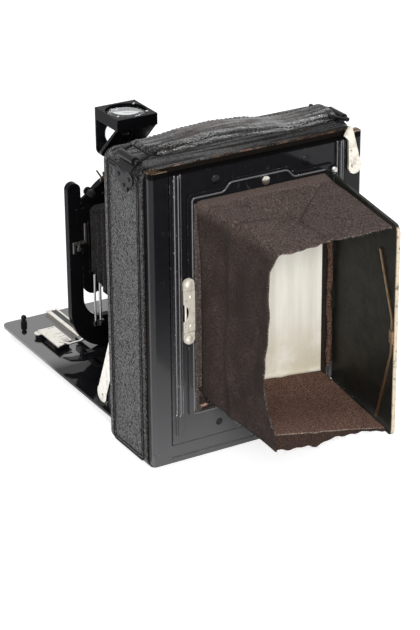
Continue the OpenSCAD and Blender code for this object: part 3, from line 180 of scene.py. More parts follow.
# %% Small helpers for shader trees
class Finish:
    """A material under construction. Calls return sockets that the next call can take."""

    def __init__(self, name, colour, roughness, metal=0.0, **plain):
        self.material = bpy.data.materials.new(name)
        self.material.use_nodes = True
        self.tree = self.material.node_tree
        self.shader = self.tree.nodes["Principled BSDF"]
        self.set("Base Color", (*colour, 1) if isinstance(colour, tuple) else colour)
        self.set("Roughness", roughness)
        self.set("Metallic", metal)
        for key, value in plain.items():
            self.set(key.replace("_", " "), value)

    def set(self, socket, value):
        """Gives an input of the shader a socket or a plain value."""
        target = self.shader.inputs[socket]
        if isinstance(value, bpy.types.NodeSocket):
            self.tree.links.new(value, target)
        else:
            target.default_value = value

    def so_far(self, socket):
        """What already feeds an input of the shader, so that a later step can go over it."""
        return self.shader.inputs[socket].links[0].from_socket

    def node(self, kind, out=0, options=None, **inputs):
        """A node with its inputs filled. An input is called by its name, or as _ and its number."""
        made = self.tree.nodes.new("ShaderNode" + kind)
        for key, value in (options or {}).items():
            setattr(made, key, value)
        for key, value in inputs.items():
            target = made.inputs[int(key[1:])] if key[1:].isdigit() else made.inputs[key.replace("_", " ")]
            if isinstance(value, bpy.types.NodeSocket):
                self.tree.links.new(value, target)
            else:
                target.default_value = value
        return made.outputs[out]

    def place(self, stretch=(1, 1, 1), uv=False):
        """Coordinates of the surface, in metres, or its length map."""
        source = self.node("TexCoord", out="UV" if uv else "Object")
        return self.node("Mapping", Vector=source, Scale=stretch)

    def noise(self, size, detail=3.0, rough=0.6, stretch=(1, 1, 1), uv=False, twist=0.0):
        """Cloudy pattern whose lumps are about size millimetres across."""
        unit = 10.0 if uv else 1000.0
        return self.node("TexNoise", Vector=self.place(stretch, uv), Scale=unit / size, Detail=detail,
                         Roughness=rough, Distortion=twist)

    def range(self, value, low, high, to_low=0.0, to_high=1.0):
        """A straight rise from to_low at low up to to_high at high, level outside them."""
        return self.node("MapRange", Value=value, From_Min=low, From_Max=high, To_Min=to_low, To_Max=to_high)

    def math(self, what, a, b=0.0):
        """One step of arithmetic, named as the node names it."""
        return self.node("Math", options={"operation": what}, _0=a, _1=b)

    def times(self, a, b):
        """a multiplied by b: a mask that is 1 only where both masks are."""
        return self.math("MULTIPLY", a, b)

    def plus(self, a, b):
        """The sum of a and b."""
        return self.math("ADD", a, b)

    def most(self, a, b):
        """The larger of a and b: a mask that is 1 where either mask is."""
        return self.math("MAXIMUM", a, b)

    def opposite(self, share):
        """1 minus a share."""
        return self.math("SUBTRACT", 1.0, share)

    def mix(self, share, a, b):
        """Colour a where share is 0, and b where it is 1."""
        a, b = [(*c, 1) if isinstance(c, tuple) else c for c in (a, b)]
        return self.node("Mix", out=2, options={"data_type": "RGBA"}, _0=share, _6=a, _7=b)

    def mix_value(self, share, a, b):
        """Number a where share is 0, and b where it is 1."""
        return self.node("Mix", options={"data_type": "FLOAT"}, _0=share, _2=a, _3=b)

    def axis(self, which, uv=False):
        """One coordinate of the surface, in metres, or of its length map."""
        source = self.node("TexCoord", out="UV" if uv else "Object")
        return self.node("SeparateXYZ", out=which, Vector=source)

    def edges(self, radius, full=0.12):
        """Rounded normal, and a mask that is 1 on the object's edges."""
        rounded = self.tree.nodes.new("ShaderNodeBevel")
        rounded.samples = 4
        rounded.inputs["Radius"].default_value = radius * MM
        face = self.tree.nodes.new("ShaderNodeNewGeometry").outputs["Normal"]
        same = self.node("VectorMath", out="Value", options={"operation": "DOT_PRODUCT"},
                         _0=rounded.outputs[0], _1=face)
        return rounded.outputs[0], self.range(same, 1.0, 1.0 - full)

    def bump(self, height, depth, normal=None):
        """Relief of the given depth in millimetres."""
        inputs = {"Height": height, "Distance": depth * MM, "Strength": 1.0}
        if normal is not None:
            inputs["Normal"] = normal
        return self.node("Bump", **inputs)


print("a finish can:", [word for word in vars(Finish) if not word.startswith("_")])

# %% [markdown]
# ### Black enamel
# Stoved enamel on metal: deep black, glossy, a little wavy, with fine wipe marks. It is worn to the metal
# along edges and in a few chips. Low down the back grows greyer, partly with dust and partly as a painted
# reflection of the pale floor, and its top is darkened as painted shade. The rails of the back have lost
# the enamel on their upper ends, where brass shows. A dull film covers the bed near the box, where it is
# handled.
# Wear could be painted by hand on an image for each part. One function with a few settings wears every
# part alike, and finds the edges by itself.

# %% Enamel
BACK_TOP_IN_SHADE = 0.1487, 0.1490  # metres: above this the top of the back is darkened as painted shade, with no dust, fewer chips and little gloss


def tint(colour, by, plus=0.0):
    """Another shade of a colour: each channel times by, plus a little."""
    return tuple(c * by + plus for c in colour)


def enamel(name, colour=(0.005, 0.005, 0.006), gloss=0.10, wear=0.35, chips=0.5, metal=(0.50, 0.47, 0.42),
           dust=0.0, shine=0.14):
    """Black paint. Metal shows where an edge meets a cloudy noise, and where fine specks meet a broad
    cloud. dust is a grey that grows towards the base, partly dust and partly a painted reflection of the
    pale floor, and lies in smears of dust higher up. Near the top of the back the colour is darkened as
    painted shade."""
    f = Finish(name, colour, gloss, Specular_IOR_Level=shine)
    rounded, edge = f.edges(0.35)
    cloud = f.noise(6.0, detail=4)
    speck = f.noise(0.9, detail=5, rough=0.7)
    worn = f.times(edge, f.range(f.noise(2.4, detail=6, rough=0.75), 0.62 - 0.2 * wear, 0.74))
    chip = f.range(speck, 0.70 + 0.04 * (1 - chips), 0.78)
    bare = f.most(worn, f.times(chip, f.range(cloud, 0.60, 0.72)))
    base = f.mix(cloud, colour, tint(colour, 1.6, 0.002))
    if dust:
        # Partly dust, partly painted reflection: a grey that grows towards the base, as the enamel there
        # mirrors the pale floor.
        low = f.math("POWER", f.range(f.axis("Z"), 0.105, 0.010), 1.6)
        smear = f.noise(2.5, detail=7, rough=0.7, stretch=(1, 1, 0.3), twist=1.0)
        smear = f.range(smear, 0.60, 0.72, 0.0, 0.35)
        # Painted shade: the top of the back is made darker, with no dust, fewer chips and little gloss.
        top = f.range(f.axis("Z"), *BACK_TOP_IN_SHADE)
        smear = f.times(smear, f.opposite(top))
        base = f.mix(f.most(low, smear), base, (dust, dust, dust * 1.04))
        base = f.mix(top, base, (0.004, 0.004, 0.004))
        bare = f.times(bare, f.opposite(f.times(top, 0.8)))
        f.set("Specular IOR Level", f.mix_value(top, shine, 0.02))
    f.set("Base Color", f.mix(bare, base, metal))
    f.set("Metallic", bare)
    wiped = f.range(f.noise(1.6, detail=4, stretch=(1, 0.12, 1)), 0.4, 0.8, gloss, gloss + 0.10)
    f.set("Roughness", f.plus(wiped, f.range(f.noise(14, detail=5), 0.45, 0.75, 0.0, 0.10)))
    waviness = f.plus(f.noise(7, detail=1), f.times(speck, 0.05))
    f.set("Normal", f.bump(waviness, 0.022, rounded))
    return f


enamel_black = enamel("black enamel").material
enamel_bed = enamel("black enamel of the bed", gloss=0.05, wear=0.2, shine=1.0)
dull_film = enamel_bed.range(enamel_bed.axis("Y"), -0.103, -0.089)
enamel_bed.set("Specular IOR Level", enamel_bed.mix_value(dull_film, 1.0, 0.12))
enamel_bed.set("Coat Weight", enamel_bed.mix_value(dull_film, 0.6, 0.0))
enamel_bed = enamel_bed.material
enamel_lens = enamel("black enamel of the standard", colour=(0.002, 0.002, 0.0025), gloss=0.07, wear=0.3,
                     shine=0.04).material
enamel_back = enamel("black enamel of the focusing back", gloss=0.08, wear=0.35, chips=0.6,
                     metal=(0.70, 0.69, 0.66), dust=0.085, shine=0.22).material
# Painted highlight: the beads' black is lightened to a grey, so that they read as lit lines.
enamel_bead_painted_highlight = enamel("black enamel of the beads with painted highlight", colour=(0.035, 0.035, 0.038), gloss=0.14, wear=0.6,
                     shine=1.0)
enamel_bead_painted_highlight.set("Coat Weight", 1.0)
enamel_bead_painted_highlight = enamel_bead_painted_highlight.material

rail = enamel("black enamel of the rails", gloss=0.08, wear=0.6, dust=0.085, shine=0.22)
rail_end = rail.range(rail.axis("Z"), 0.15145, 0.1516)
top_worn = rail.times(rail_end, rail.range(rail.noise(2.2, detail=6), 0.42, 0.58))
rail.set("Base Color", rail.mix(top_worn, rail.so_far("Base Color"), (0.36, 0.24, 0.14)))
rail.set("Metallic", rail.most(top_worn, rail.so_far("Metallic")))
enamel_rails = rail.material
satin = enamel("satin black paint", colour=(0.009, 0.009, 0.009), gloss=0.42, wear=0.3).material
print("enamels:", [m.name for m in (enamel_black, enamel_bed, enamel_lens, enamel_back, enamel_bead_painted_highlight,
                                   enamel_rails, satin)])

# %% [markdown]
# ### Nickel, steel and brass
# Old nickel plate is warm and slightly yellow, with cloudy tarnish in its recesses and fine scratches. The
# three metals could each have a shader of their own. They age in the same way, so they share one
# function, and only their colours and their gloss differ.

# %% Bright metals
def plated(name, bright, dull, gloss=0.22, tarnish=0.5, metal=1.0):
    """Bright metal with a dull tarnish: a cloud that keeps off the edges, and small spots."""
    f = Finish(name, bright, gloss, metal)
    rounded, edge = f.edges(0.25)
    cloud = f.range(f.noise(3.4, detail=6, rough=0.65), 0.50, 1.15 - 0.3 * tarnish)
    cloud = f.times(cloud, f.opposite(edge))
    spots = f.range(f.noise(0.45, detail=3), 0.70, 0.80)
    dirt = f.most(cloud, f.times(spots, 0.6))
    f.set("Base Color", f.mix(dirt, bright, dull))
    scratches = f.range(f.noise(0.6, stretch=(1, 1, 0.06)), 0.3, 0.7, gloss, gloss + 0.14)
    f.set("Roughness", f.plus(f.times(dirt, 0.25), scratches))
    f.set("Normal", f.bump(f.noise(0.5, detail=4, stretch=(1, 1, 0.1)), 0.008, rounded))
    return f.material


nickel = plated("old nickel plate", (0.80, 0.77, 0.71), (0.34, 0.30, 0.24), tarnish=0.9)
nickel_catch = plated("yellowed nickel of the catches", (0.86, 0.81, 0.70), (0.30, 0.26, 0.20), 0.26, 0.9,
                      metal=0.45)
steel = plated("polished steel", (0.62, 0.61, 0.59), (0.33, 0.32, 0.30), 0.2, 0.3)
brass = plated("tarnished brass", (0.40, 0.27, 0.17), (0.14, 0.085, 0.052), 0.28, 1.0)
print("metals:", nickel.name, "|", nickel_catch.name, "|", steel.name, "|", brass.name)

# %% [markdown]
# ### Leather
# The box is covered with black morocco: small rounded pebbles of 0.5 to 1 mm between fine valleys, rubbed
# smooth and brown on the corners. Voronoi cells give the pebbles, and their distance to the edge the
# valleys. A photograph of leather could give the same, but it would repeat, and its seams would show. The
# cover's rear top edge has lost its colour in a copper-brown streak.

# %% Leathers
GRAIN_SLANT = 35  # degrees: the rows of pebbles run aslant


def pebbled(name, colour, worn, size, depth, gloss, rub=0.5, streak=False, shine=0.5, waves=0.0, panel=False):
    """Grained leather: cells of the given size, at places that a fine noise bends. worn is the colour of
    rubbed edges and scuffs, and the gleam sits on the tops of the pebbles. streak is the copper streak of
    the cover, waves are broad gleams on its top, and panel is the dusty middle of the handle."""
    f = Finish(name, colour, gloss, Specular_IOR_Level=shine, Sheen_Weight=0.03, Sheen_Roughness=0.5)
    rounded, edge = f.edges(1.0, 0.2)
    slanted = f.node("Mapping", Vector=f.place(), Rotation=(math.radians(GRAIN_SLANT), 0, 0),
                     Scale=(1, 1, 0.62))
    wobble = f.node("TexNoise", out="Color", Vector=f.place(), Scale=420.0, Detail=2.0)
    wobble = f.node("VectorMath", options={"operation": "SCALE"}, _0=wobble, Scale=0.0013)
    spot = f.node("VectorMath", options={"operation": "ADD"}, _0=slanted, _1=wobble)
    cell = f.node("TexVoronoi", options={"feature": "DISTANCE_TO_EDGE"}, Vector=spot, Scale=1000.0 / size)
    pebble = f.range(cell, 0.0, 0.28)
    crease = f.range(f.noise(5.5, detail=6, rough=0.7, twist=0.6), 0.35, 0.65)
    shade = f.range(f.noise(13, detail=5), 0.3, 0.75)
    base = f.mix(shade, colour, tint(colour, 1.7, 0.004))
    # Painted shade: the valleys between the pebbles are darkened to a tenth of the colour.
    base = f.mix(f.times(f.opposite(pebble), 0.95), base, tint(colour, 0.1))
    if panel:
        off = f.math("ABSOLUTE", f.math("SUBTRACT", f.axis("Y"), 0.0035))
        middle = f.times(f.range(off, 0.0062, 0.0054), f.range(f.math("ABSOLUTE", f.axis("X")), 0.036, 0.030))
        grey = f.times(middle, f.range(f.noise(2.0, detail=6, stretch=(0.2, 1, 1)), 0.38, 0.6, 0.15, 1.0))
        base = f.mix(grey, base, (0.072, 0.060, 0.053))
    rubbed = f.times(edge, f.range(f.noise(3, detail=6, rough=0.75), 0.40, 0.62))
    scuff = f.times(f.range(f.noise(2.2, detail=7, rough=0.8), 0.66, 0.72), 0.55)
    rubbed = f.most(f.times(rubbed, rub), scuff)
    base = f.mix(rubbed, base, worn)
    if streak:
        y, z = f.axis("Y"), f.axis("Z")
        line = f.times(f.range(y, 0.0166, 0.0176), f.range(z, 0.1500, 0.1513))
        line = f.times(line, f.range(f.noise(3.4, detail=7, rough=0.85, stretch=(0.4, 1, 1)), 0.50, 0.62))
        base = f.mix(line, base, (0.34, 0.165, 0.10))
    f.set("Base Color", base)
    f.set("Roughness", f.plus(f.range(shade, 0, 1, gloss, gloss + 0.14), f.times(rubbed, 0.12)))
    relief = f.plus(pebble, f.times(crease, 0.12 if panel else 0.8))
    gleam = f.times(f.range(pebble, 0.15, 0.95, 0.03, 1.95), shine)
    if waves:
        level = f.range(f.axis("Z"), 0.1485, 0.1505)
        long = f.range(f.noise(2.4, detail=4, rough=0.6, stretch=(0.06, 1, 1)), 0.46, 0.60, 0.05, 2.0)
        gleam = f.times(gleam, f.mix_value(f.times(level, waves), 1.0, long))
        relief = f.plus(relief, f.times(f.times(level, long), 0.12))
    f.set("Specular IOR Level", gleam)
    f.set("Normal", f.bump(relief, depth, rounded))
    return f.material


morocco = pebbled("black morocco leather", (0.011, 0.0095, 0.009), (0.14, 0.095, 0.075), 0.95, 0.46, 0.24,
                  streak=True, shine=0.95, waves=1.0)
strap_leather = pebbled("worn handle leather", (0.013, 0.011, 0.010), (0.13, 0.10, 0.085), 0.8, 0.06, 0.24,
                        rub=0.7, shine=0.95, waves=0.9, panel=True)
bellows_leather = pebbled("thin bellows leather", (0.014, 0.012, 0.011), (0.10, 0.088, 0.078), 0.6, 0.05, 0.5,
                          rub=0.8, shine=0.2)
tooled_line = Finish("tooled line", (0.004, 0.0035, 0.003), 0.5, Specular_IOR_Level=0.12).material
print("leathers:", morocco.name, "|", strap_leather.name, "|", bellows_leather.name)

# %% [markdown]
# ### Cloth and felt
# The hood is a dark brown cotton cloth, faded, dusty and covered with light lint. Its weave is about
# two threads to the millimetre, and follows the cloth, so it reads the length map. Along the frame the
# top is doubled and faded, the side is painted darker as shade, and the bottom has kept its warm brown.
# Threads could be modelled, but at this size they would be far too many, so they are relief and painted
# shade on a smooth sheet.

# %% Cloths
def cloth(name, colour, faded, dust, weave=0.5, doubled_top_and_shaded_side=False, flap=False):
    """Woven cloth: the product of two sines gives the threads, and noises give stains, fluff and slubs.
    The flag for the doubled top marks that top as faded and paints the side below it darker, as painted
    shade; flap darkens the turned-down hem."""
    f = Finish(name, colour, 0.95, Specular_IOR_Level=0.03, Sheen_Weight=0.05, Sheen_Roughness=0.6)
    u, v = f.axis("X", uv=True), f.axis("Y", uv=True)
    thread = 2 * math.pi * 10.0 / weave
    weave_height = f.times(f.math("SINE", f.times(u, thread)), f.math("SINE", f.times(v, thread)))
    stain = f.range(f.noise(14, detail=6, rough=0.65), 0.36, 0.66)
    fluff = f.noise(0.78, detail=3, rough=0.75, twist=0.5)
    slub = f.range(f.noise(1.6, detail=5, rough=0.7, stretch=(1, 0.25, 1), uv=True), 0.40, 0.64)
    base = f.mix(stain, colour, faded)
    # The specks follow the fluff's relief: the dark ones, in its hollows, are painted shade, and the pale
    # ones on its tops are fibre.
    base = f.mix(f.range(fluff, 0.38, 0.50, 0.95, 0.0), base, tint(colour, 0.12))
    base = f.mix(f.range(fluff, 0.52, 0.64, 0.0, 0.9), base, tint(faded, 2.6))
    # Painted shade: the weave is darker where its relief is low, between the threads.
    base = f.mix(f.range(weave_height, -1, 1, 0.35, 0.0), base, tint(colour, 0.5))
    base = f.mix(f.times(slub, 0.25), base, faded)
    if doubled_top_and_shaded_side:
        y, z = f.axis("Y"), f.axis("Z")
        doubled = f.times(f.range(y, 0.0335, 0.0315), f.range(z, 0.1305, 0.1325))
        base = f.mix(f.times(doubled, f.range(fluff, 0.3, 0.6)), base, tint(faded, 1.5))
        # Painted shade: the side of the hood, below the top, is darkened because less light falls on it.
        shaded = f.times(f.range(z, 0.1315, 0.127), f.range(f.noise(17, detail=5), 0.35, 0.65, 0.85, 0.45))
        base = f.mix(shaded, base, tuple(c * k for c, k in zip(colour, (0.34, 0.31, 0.28))))
    if flap:
        base = f.mix(f.range(f.axis("Y"), 0.0899, 0.0904, 0.0, 0.85), base, (0.020, 0.012, 0.009))
    lint = f.range(f.noise(0.8, detail=6, rough=0.85, twist=1.5), 0.64, 0.69)
    patch = f.range(f.noise(9, detail=5), 0.42, 0.60, 0.25, 1.0)
    base = f.mix(f.times(f.times(lint, patch), 0.85), base, dust)
    f.set("Base Color", base)
    relief = f.plus(f.times(weave_height, 0.2), f.plus(f.times(slub, 0.4), f.times(fluff, 1.8)))
    f.set("Normal", f.bump(relief, 0.38))
    return f.material


hood_cloth_finish = cloth("brown hood cloth", (0.066, 0.045, 0.038), (0.098, 0.070, 0.061),
                          (0.42, 0.36, 0.31), doubled_top_and_shaded_side=True)
floor_cloth_finish = cloth("warm brown hood cloth", (0.135, 0.070, 0.047), (0.190, 0.105, 0.075),
                           (0.60, 0.48, 0.38), flap=True)
piping_finish = cloth("worn piping cloth", (0.085, 0.042, 0.028), (0.15, 0.085, 0.06), (0.42, 0.36, 0.30),
                      weave=0.35)
felt_finish = cloth("pinkish felt", (0.075, 0.060, 0.054), (0.120, 0.094, 0.084), (0.36, 0.30, 0.27),
                    weave=0.25)
felt_end_finish = cloth("clean pink felt", (0.36, 0.20, 0.16), (0.46, 0.30, 0.25), (0.6, 0.5, 0.45),
                        weave=0.25)
hem_finish = cloth("worn hem fold", (0.20, 0.145, 0.115), (0.34, 0.26, 0.21), (0.6, 0.5, 0.42), weave=0.35)
tab_finish = cloth("dark seam cloth", (0.016, 0.010, 0.008), (0.030, 0.020, 0.016), (0.20, 0.16, 0.13))
thread_finish = Finish("linen thread", (0.014, 0.012, 0.011), 0.7, Specular_IOR_Level=0.1)
thread_finish.set("Normal", thread_finish.bump(thread_finish.noise(0.25, stretch=(0.2, 1, 1)), 0.05))
lint_finish = Finish("pale lint", (0.40, 0.34, 0.29), 0.9, Sheen_Weight=0.5)
lint_finish.set("Base Color", lint_finish.mix(lint_finish.noise(1.5), (0.22, 0.16, 0.12), (0.48, 0.42, 0.36)))
print("cloths:", [m.name for m in (hood_cloth_finish, floor_cloth_finish, piping_finish, felt_finish)])

# %% [markdown]
# ### The lid's paint
# The lid's inside is black paint clouded by smoky smudges and fingerprints, and its outer edge has worn
# to a cream undercoat. It could be painted by hand on an image. Here it is the enamel from above with
# two more noises laid over its colour, so no image is needed.

# %% Lid
lid = enamel("smudged black paint of the lid", (0.007, 0.007, 0.006), 0.38, 0.6, 0.5, (0.50, 0.46, 0.38),
             shine=0.07)
smoke = lid.range(lid.noise(11, detail=7, rough=0.6, twist=1.2), 0.40, 0.70)
streaks = lid.range(lid.noise(3.0, detail=6, rough=0.7, stretch=(1, 1, 0.25)), 0.48, 0.70)
haze = lid.times(lid.plus(lid.times(smoke, 0.55), lid.times(streaks, 0.30)), 0.75)
rim_line = lid.range(lid.axis("Y"), 0.0940, 0.0952)
rim_worn = lid.times(rim_line, lid.range(lid.noise(2.5, detail=6, rough=0.75), 0.36, 0.46))
smudged = lid.mix(haze, lid.so_far("Base Color"), (0.030, 0.030, 0.022))
lid.set("Base Color", lid.mix(rim_worn, smudged, (0.62, 0.53, 0.40)))
lid_finish = lid.material
print("lid:", lid_finish.name)

# %% [markdown]
# ### Glass, mirror and wood
# The ground glass is frosted on its rear face, so it looks pale from behind. It could be clear glass with
# a rough face, but light that scatters on its way through renders slowly and with noise, so it is made as
# a pale rough surface that lets no light through. Fine streaks run down it, and damp has left a yellowish
# stain along its lower edge. The lens glasses do let light through.

# %% Glass, mirror and wood
frosted = Finish("ground glass", (0.86, 0.85, 0.78), 0.5, Specular_IOR_Level=0.3)
long_streaks = frosted.range(frosted.noise(34, detail=6, rough=0.6, stretch=(3.5, 1, 0.3)), 0.34, 0.60)
pale = frosted.mix(long_streaks, (0.74, 0.72, 0.63), (0.93, 0.915, 0.845))
damp = frosted.range(frosted.noise(12, detail=6), 0.36, 0.60, 0.25, 1.0)
low_stain = frosted.times(frosted.range(frosted.axis("Z"), 0.066, 0.030), damp)
frosted.set("Base Color", frosted.mix(low_stain, pale, (0.62, 0.56, 0.42)))
frosted.set("Normal", frosted.bump(frosted.noise(0.12, detail=2), 0.01))
clear = Finish("polished lens glass", (0.93, 0.96, 0.97), 0.02, Transmission_Weight=1.0, IOR=1.52,
               Coat_Weight=0.3)
clear.set("Roughness", clear.range(clear.noise(7, detail=6), 0.5, 0.8, 0.015, 0.07))
silver = Finish("silvered mirror", (0.80, 0.82, 0.83), 0.05, 1.0)
silver.set("Roughness", silver.range(silver.noise(3, detail=6), 0.45, 0.75, 0.03, 0.22))
# Partly painted shade: the stained wood is darkened almost to black for the gap at the top of the back, where
# shade falls.
wood = Finish("black stained wood darkened as painted shade", (0.008, 0.006, 0.005), 0.6, Specular_IOR_Level=0.05)
grain = wood.noise(1.2, detail=7, rough=0.7, stretch=(1, 1, 0.05))
wood.set("Base Color", wood.mix(grain, (0.005, 0.004, 0.004), (0.013, 0.010, 0.008)))
wood.set("Normal", wood.bump(grain, 0.08))
print("clear parts:", frosted.material.name, "|", clear.material.name, "|", silver.material.name)

# %% [markdown]
# ## The rigid pieces keep their solids
# The drawn metal, glass and wood already have the right shapes, so they only take a finish. A new
# material goes into the object's slot, and the mesh itself isn't touched.

# %% Dress the solids
DRESS = {
    enamel_black: ["strap_loops", "strap_anchors", "bed_hinges", "scale_block", "bed_stud"],
    enamel_rails: ["left_rail", "right_rail"],
    enamel_bed: ["bed_plate", "carriage", "clamp_lever"],
    enamel_lens: ["upright_frame", "bellows_frame", "lens_board", "shutter_case", "finder_case"],
    enamel_back: ["focusing_frame", "hood_base", "bottom_rail", "frame_screws"],
    satin: ["rear_gate", "front_cell", "rear_cell", "rise_knob"],
    lid_finish: ["hood_lid"],
    nickel: ["latch_screw", "bed_pins", "bed_braces", "bed_tracks", "scale_plate", "glass_clips",
             "lid_button", "board_clips", "distance_pointer", "speed_dial", "aperture_ring", "finder_pivot"],
    nickel_catch: ["back_latch", "side_catch", "catch_lugs"],
    steel: ["lid_hinge_pin", "rise_rods"],
    brass: ["tripod_bushes", "lid_springs", "release_lever", "cocking_lever"],
    morocco: ["leather_cover", "base_leather", "bed_leather"],
    frosted.material: ["ground_glass"],
    clear.material: ["lens_glasses", "finder_glasses"],
    silver.material: ["finder_mirror"],
    wood.material: ["body_shell"],
}
for finish, names in DRESS.items():
    for name in names:
        mesh = nodes[name].data
        mesh.materials.clear()
        mesh.materials.append(finish)
print("dressed", sum(len(names) for names in DRESS.values()), "of", len(nodes), "solids")

# %% [markdown]
# ## The carrying handle
# The handle is a strip of leather, thicker in the middle than at its stitched edges. Its ends are folded
# round the wire loops, which makes them swell. Its outline across is a flattened ring, and this ring is
# carried along the strap while its middle, width and height change by formula. It could be sculpted from
# a box, but then the stitches would have to be placed by hand. Here the same formula places them.

# %% Handle strap
STRAP_HALF = 51.0


def strap_height(x):
    """Rise and sag of the strap, in millimetres above its plain level."""
    return 0.9 * bump_at(x, 12, 20) - 2.9 * bump_at(x, -30, 18) - 0.7 * bump_at(x, 40, 14)


def strap_point(x, w, rise):
    """A point of the strap: w runs over its width from -1 to 1, and rise from its lower face, -1, to its
    upper, 1. The width shrinks with the cube of the distance from the middle, the ends swell by a hill,
    and two narrow folds on each side of the upper face press the stitching lines in."""
    half = 12 - 3 * (np.abs(x) / STRAP_HALF) ** 3
    swell = bump_at(np.abs(x), STRAP_HALF - 5, 6)
    end = np.sqrt(np.clip(1 - (np.maximum(0, np.abs(x) - STRAP_HALF + 2.2) / 2.25) ** 2, 0, 1))
    thick = (1.62 + 0.8 * swell) * end
    groove = 0.22 * (fold_at(np.abs(w) - 0.80, 0.045) + 0.6 * fold_at(np.abs(w) - 0.66, 0.03)) * (rise > 0)
    wave = 0.12 * np.sin(x * 0.35 + 2 * w) + 0.05 * np.sin(x * 1.3 - 3.1 * w) + 0.35 * bump_at(x, -14, 3) * w
    y = 4 - 2 * (np.abs(x) / STRAP_HALF) ** 3 + w * half * (0.94 + 0.06 * end)
    z = 160 - 1.7 - 0.8 * swell + strap_height(x) - 0.3 * swell - 0.9 * w**2
    return points_of(x, y, z + rise * thick - groove + wave * (1 - 0.6 * swell))


along = STRAP_HALF * np.sin(np.linspace(-np.pi / 2, np.pi / 2, 150))[:, None] * 0.999
turn = full_turn(64)[None, :]
across = np.sign(np.cos(turn)) * np.abs(np.cos(turn)) ** 0.55
lift = np.sign(np.sin(turn)) * np.abs(np.sin(turn)) ** 0.8 * (1 - 0.38 * np.abs(across) ** 4)
strap = surface("handle_strap_leather", strap_point(along, across, lift)[:, ::-1], strap_leather,
                "camera_body", round_j=True, caps=True)
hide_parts("handle_strap")
print("strap:", in_mm(strap), "mm")

# %% [markdown]
# ### Stitches
# Two rows of linen stitches hold the layers of the handle. Each is a short grain that lies along the
# strap, a little sunk in its groove. One grain is made, and copied to every place with its own axes,
# because a copy by sums is quicker than an object for each stitch.

# %% Stitches of the handle
stitch_x = np.concatenate([np.arange(-43, 43.1, 2.4)] * 2)
stitch_side = np.repeat([-0.80, 0.80], len(stitch_x) // 2)
here = strap_point(stitch_x, stitch_side, np.full_like(stitch_x, 0.84))
ahead = strap_point(stitch_x + 1, stitch_side, np.full_like(stitch_x, 0.84)) - here
long_axis = ahead / np.linalg.norm(ahead, axis=1, keepdims=True)
side_axis = np.cross(long_axis, [0, 0, 1.0])
places = np.stack([1.7 * long_axis, 0.34 * side_axis, 0.30 * np.cross(side_axis, long_axis),
                   here + [0, 0, 0.03]], 1)
ring = full_turn(6)
grain_rings = [[t, r * np.cos(a), r * np.sin(a)]
               for t, r in ((-0.5, 0.25), (-0.25, 0.5), (0.25, 0.5), (0.5, 0.25)) for a in ring]
grain_faces = [[k * 6 + i, k * 6 + (i + 1) % 6, (k + 1) * 6 + (i + 1) % 6, (k + 1) * 6 + i]
               for k in range(3) for i in range(6)]
grain_faces += [[5, 4, 3, 2, 1, 0], [18, 19, 20, 21, 22, 23]]
points, faces = copies(grain_rings, grain_faces, places)
mesh_piece("handle_stitches", points, faces, thread_finish.material, "camera_body")
print("handle:", len(strap.data.vertices), "points,", len(stitch_x), "stitches")

# %% [markdown]
# ## Bellows
# A bellows is a tapered leather sleeve folded like a fan. Seen from the side its outline is a zigzag
# with softly rounded folds: a cosine made a little sharper. Every ring has cut corners, deeper where the
# fold goes in. On the camera the sleeve joins two bodies; here it is drawn at one length, with its pleats
# spaced evenly along the lens axis, and rides on neither.

# %% Pleated sleeve
PLEATS = 13
REAR_Y, FRONT_Y = 15.3, -91.5


def bellows_rings(steps=10):
    """Rings along the sleeve. Half width and height shrink evenly from rear to front, and a rounded
    zigzag takes the fold depth off both. Long sides sag inwards a little between the corners."""
    f = np.linspace(0, 1, PLEATS * steps + 1)[:, None]
    zigzag = 0.5 - 0.5 * np.cos(2 * np.pi * PLEATS * f)
    zigzag = zigzag + 0.12 * np.sin(4 * np.pi * PLEATS * f) * (0.5 - np.abs(zigzag - 0.5))
    depth = 3.4 * zigzag + 0.12
    w = 43.2 + (29.4 - 43.2) * f - depth
    h = 56.0 + (18.7 - 56.0) * f - depth
    z = 79.0 + (73.2 - 79.0) * f
    cut = 2 + 1.5 * zigzag
    corner = np.stack([
        np.concatenate([w, w, w - cut, cut - w, -w, -w, cut - w, w - cut], 1),
        np.concatenate([cut - h, h - cut, h, h, h - cut, cut - h, -h, -h], 1)], -1)
    after = np.roll(corner, -1, axis=1)
    share = np.linspace(0, 1, 7)[:-1]
    part = share[None, None, :, None]
    line = corner[:, :, None] * (1 - part) + after[:, :, None] * part
    sag = np.sin(np.pi * share) * 0.45 * (np.arange(8) % 2 == 0)[:, None]
    line *= 1 - (sag / 40)[None, :, :, None]
    line = line.reshape(len(f), -1, 2)
    y = REAR_Y + (FRONT_Y - REAR_Y) * f + 0 * line[..., 0]
    return np.stack([line[..., 0], y, line[..., 1] + z], -1)


sleeve = surface("pleated_bellows", bellows_rings(), bellows_leather, None, round_j=True)
thicken(sleeve, "leather thickness", 0.35, -1)
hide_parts("bellows")
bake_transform(sleeve)
deep = np.zeros(len(sleeve.data.vertices) * 3, np.float32)
sleeve.data.vertices.foreach_get("co", deep)
print("bellows:", PLEATS, "pleats over", round(REAR_Y - FRONT_Y, 1), "mm")

# %% [markdown]
# ## The focusing hood's cloth
# The hood is a box of cloth between the back and its lid. Its top and side are one strip that turns
# a soft corner, and its bottom is a second strip that rises towards the side. The cloth was folded
# flat for years, so sharp creases run from the corners at the frame to the middle of the hem, and the
# side's hem is drawn in where the cloth has shrunk. Each strip is a formula: a straight surface from
# the root at the frame to the hem, with creases and small wrinkles taken off it.

# %% Shape of the hood
ROOT_Y, HEM_Y = 24.6, 91.1
LEFT_ROOT, LEFT_HEM = -35.2, -27.9
RIGHT_ROOT, RIGHT_HEM = 31.1, 31.4
TOP_ROOT, TOP_HEM = 134.3, 132.6


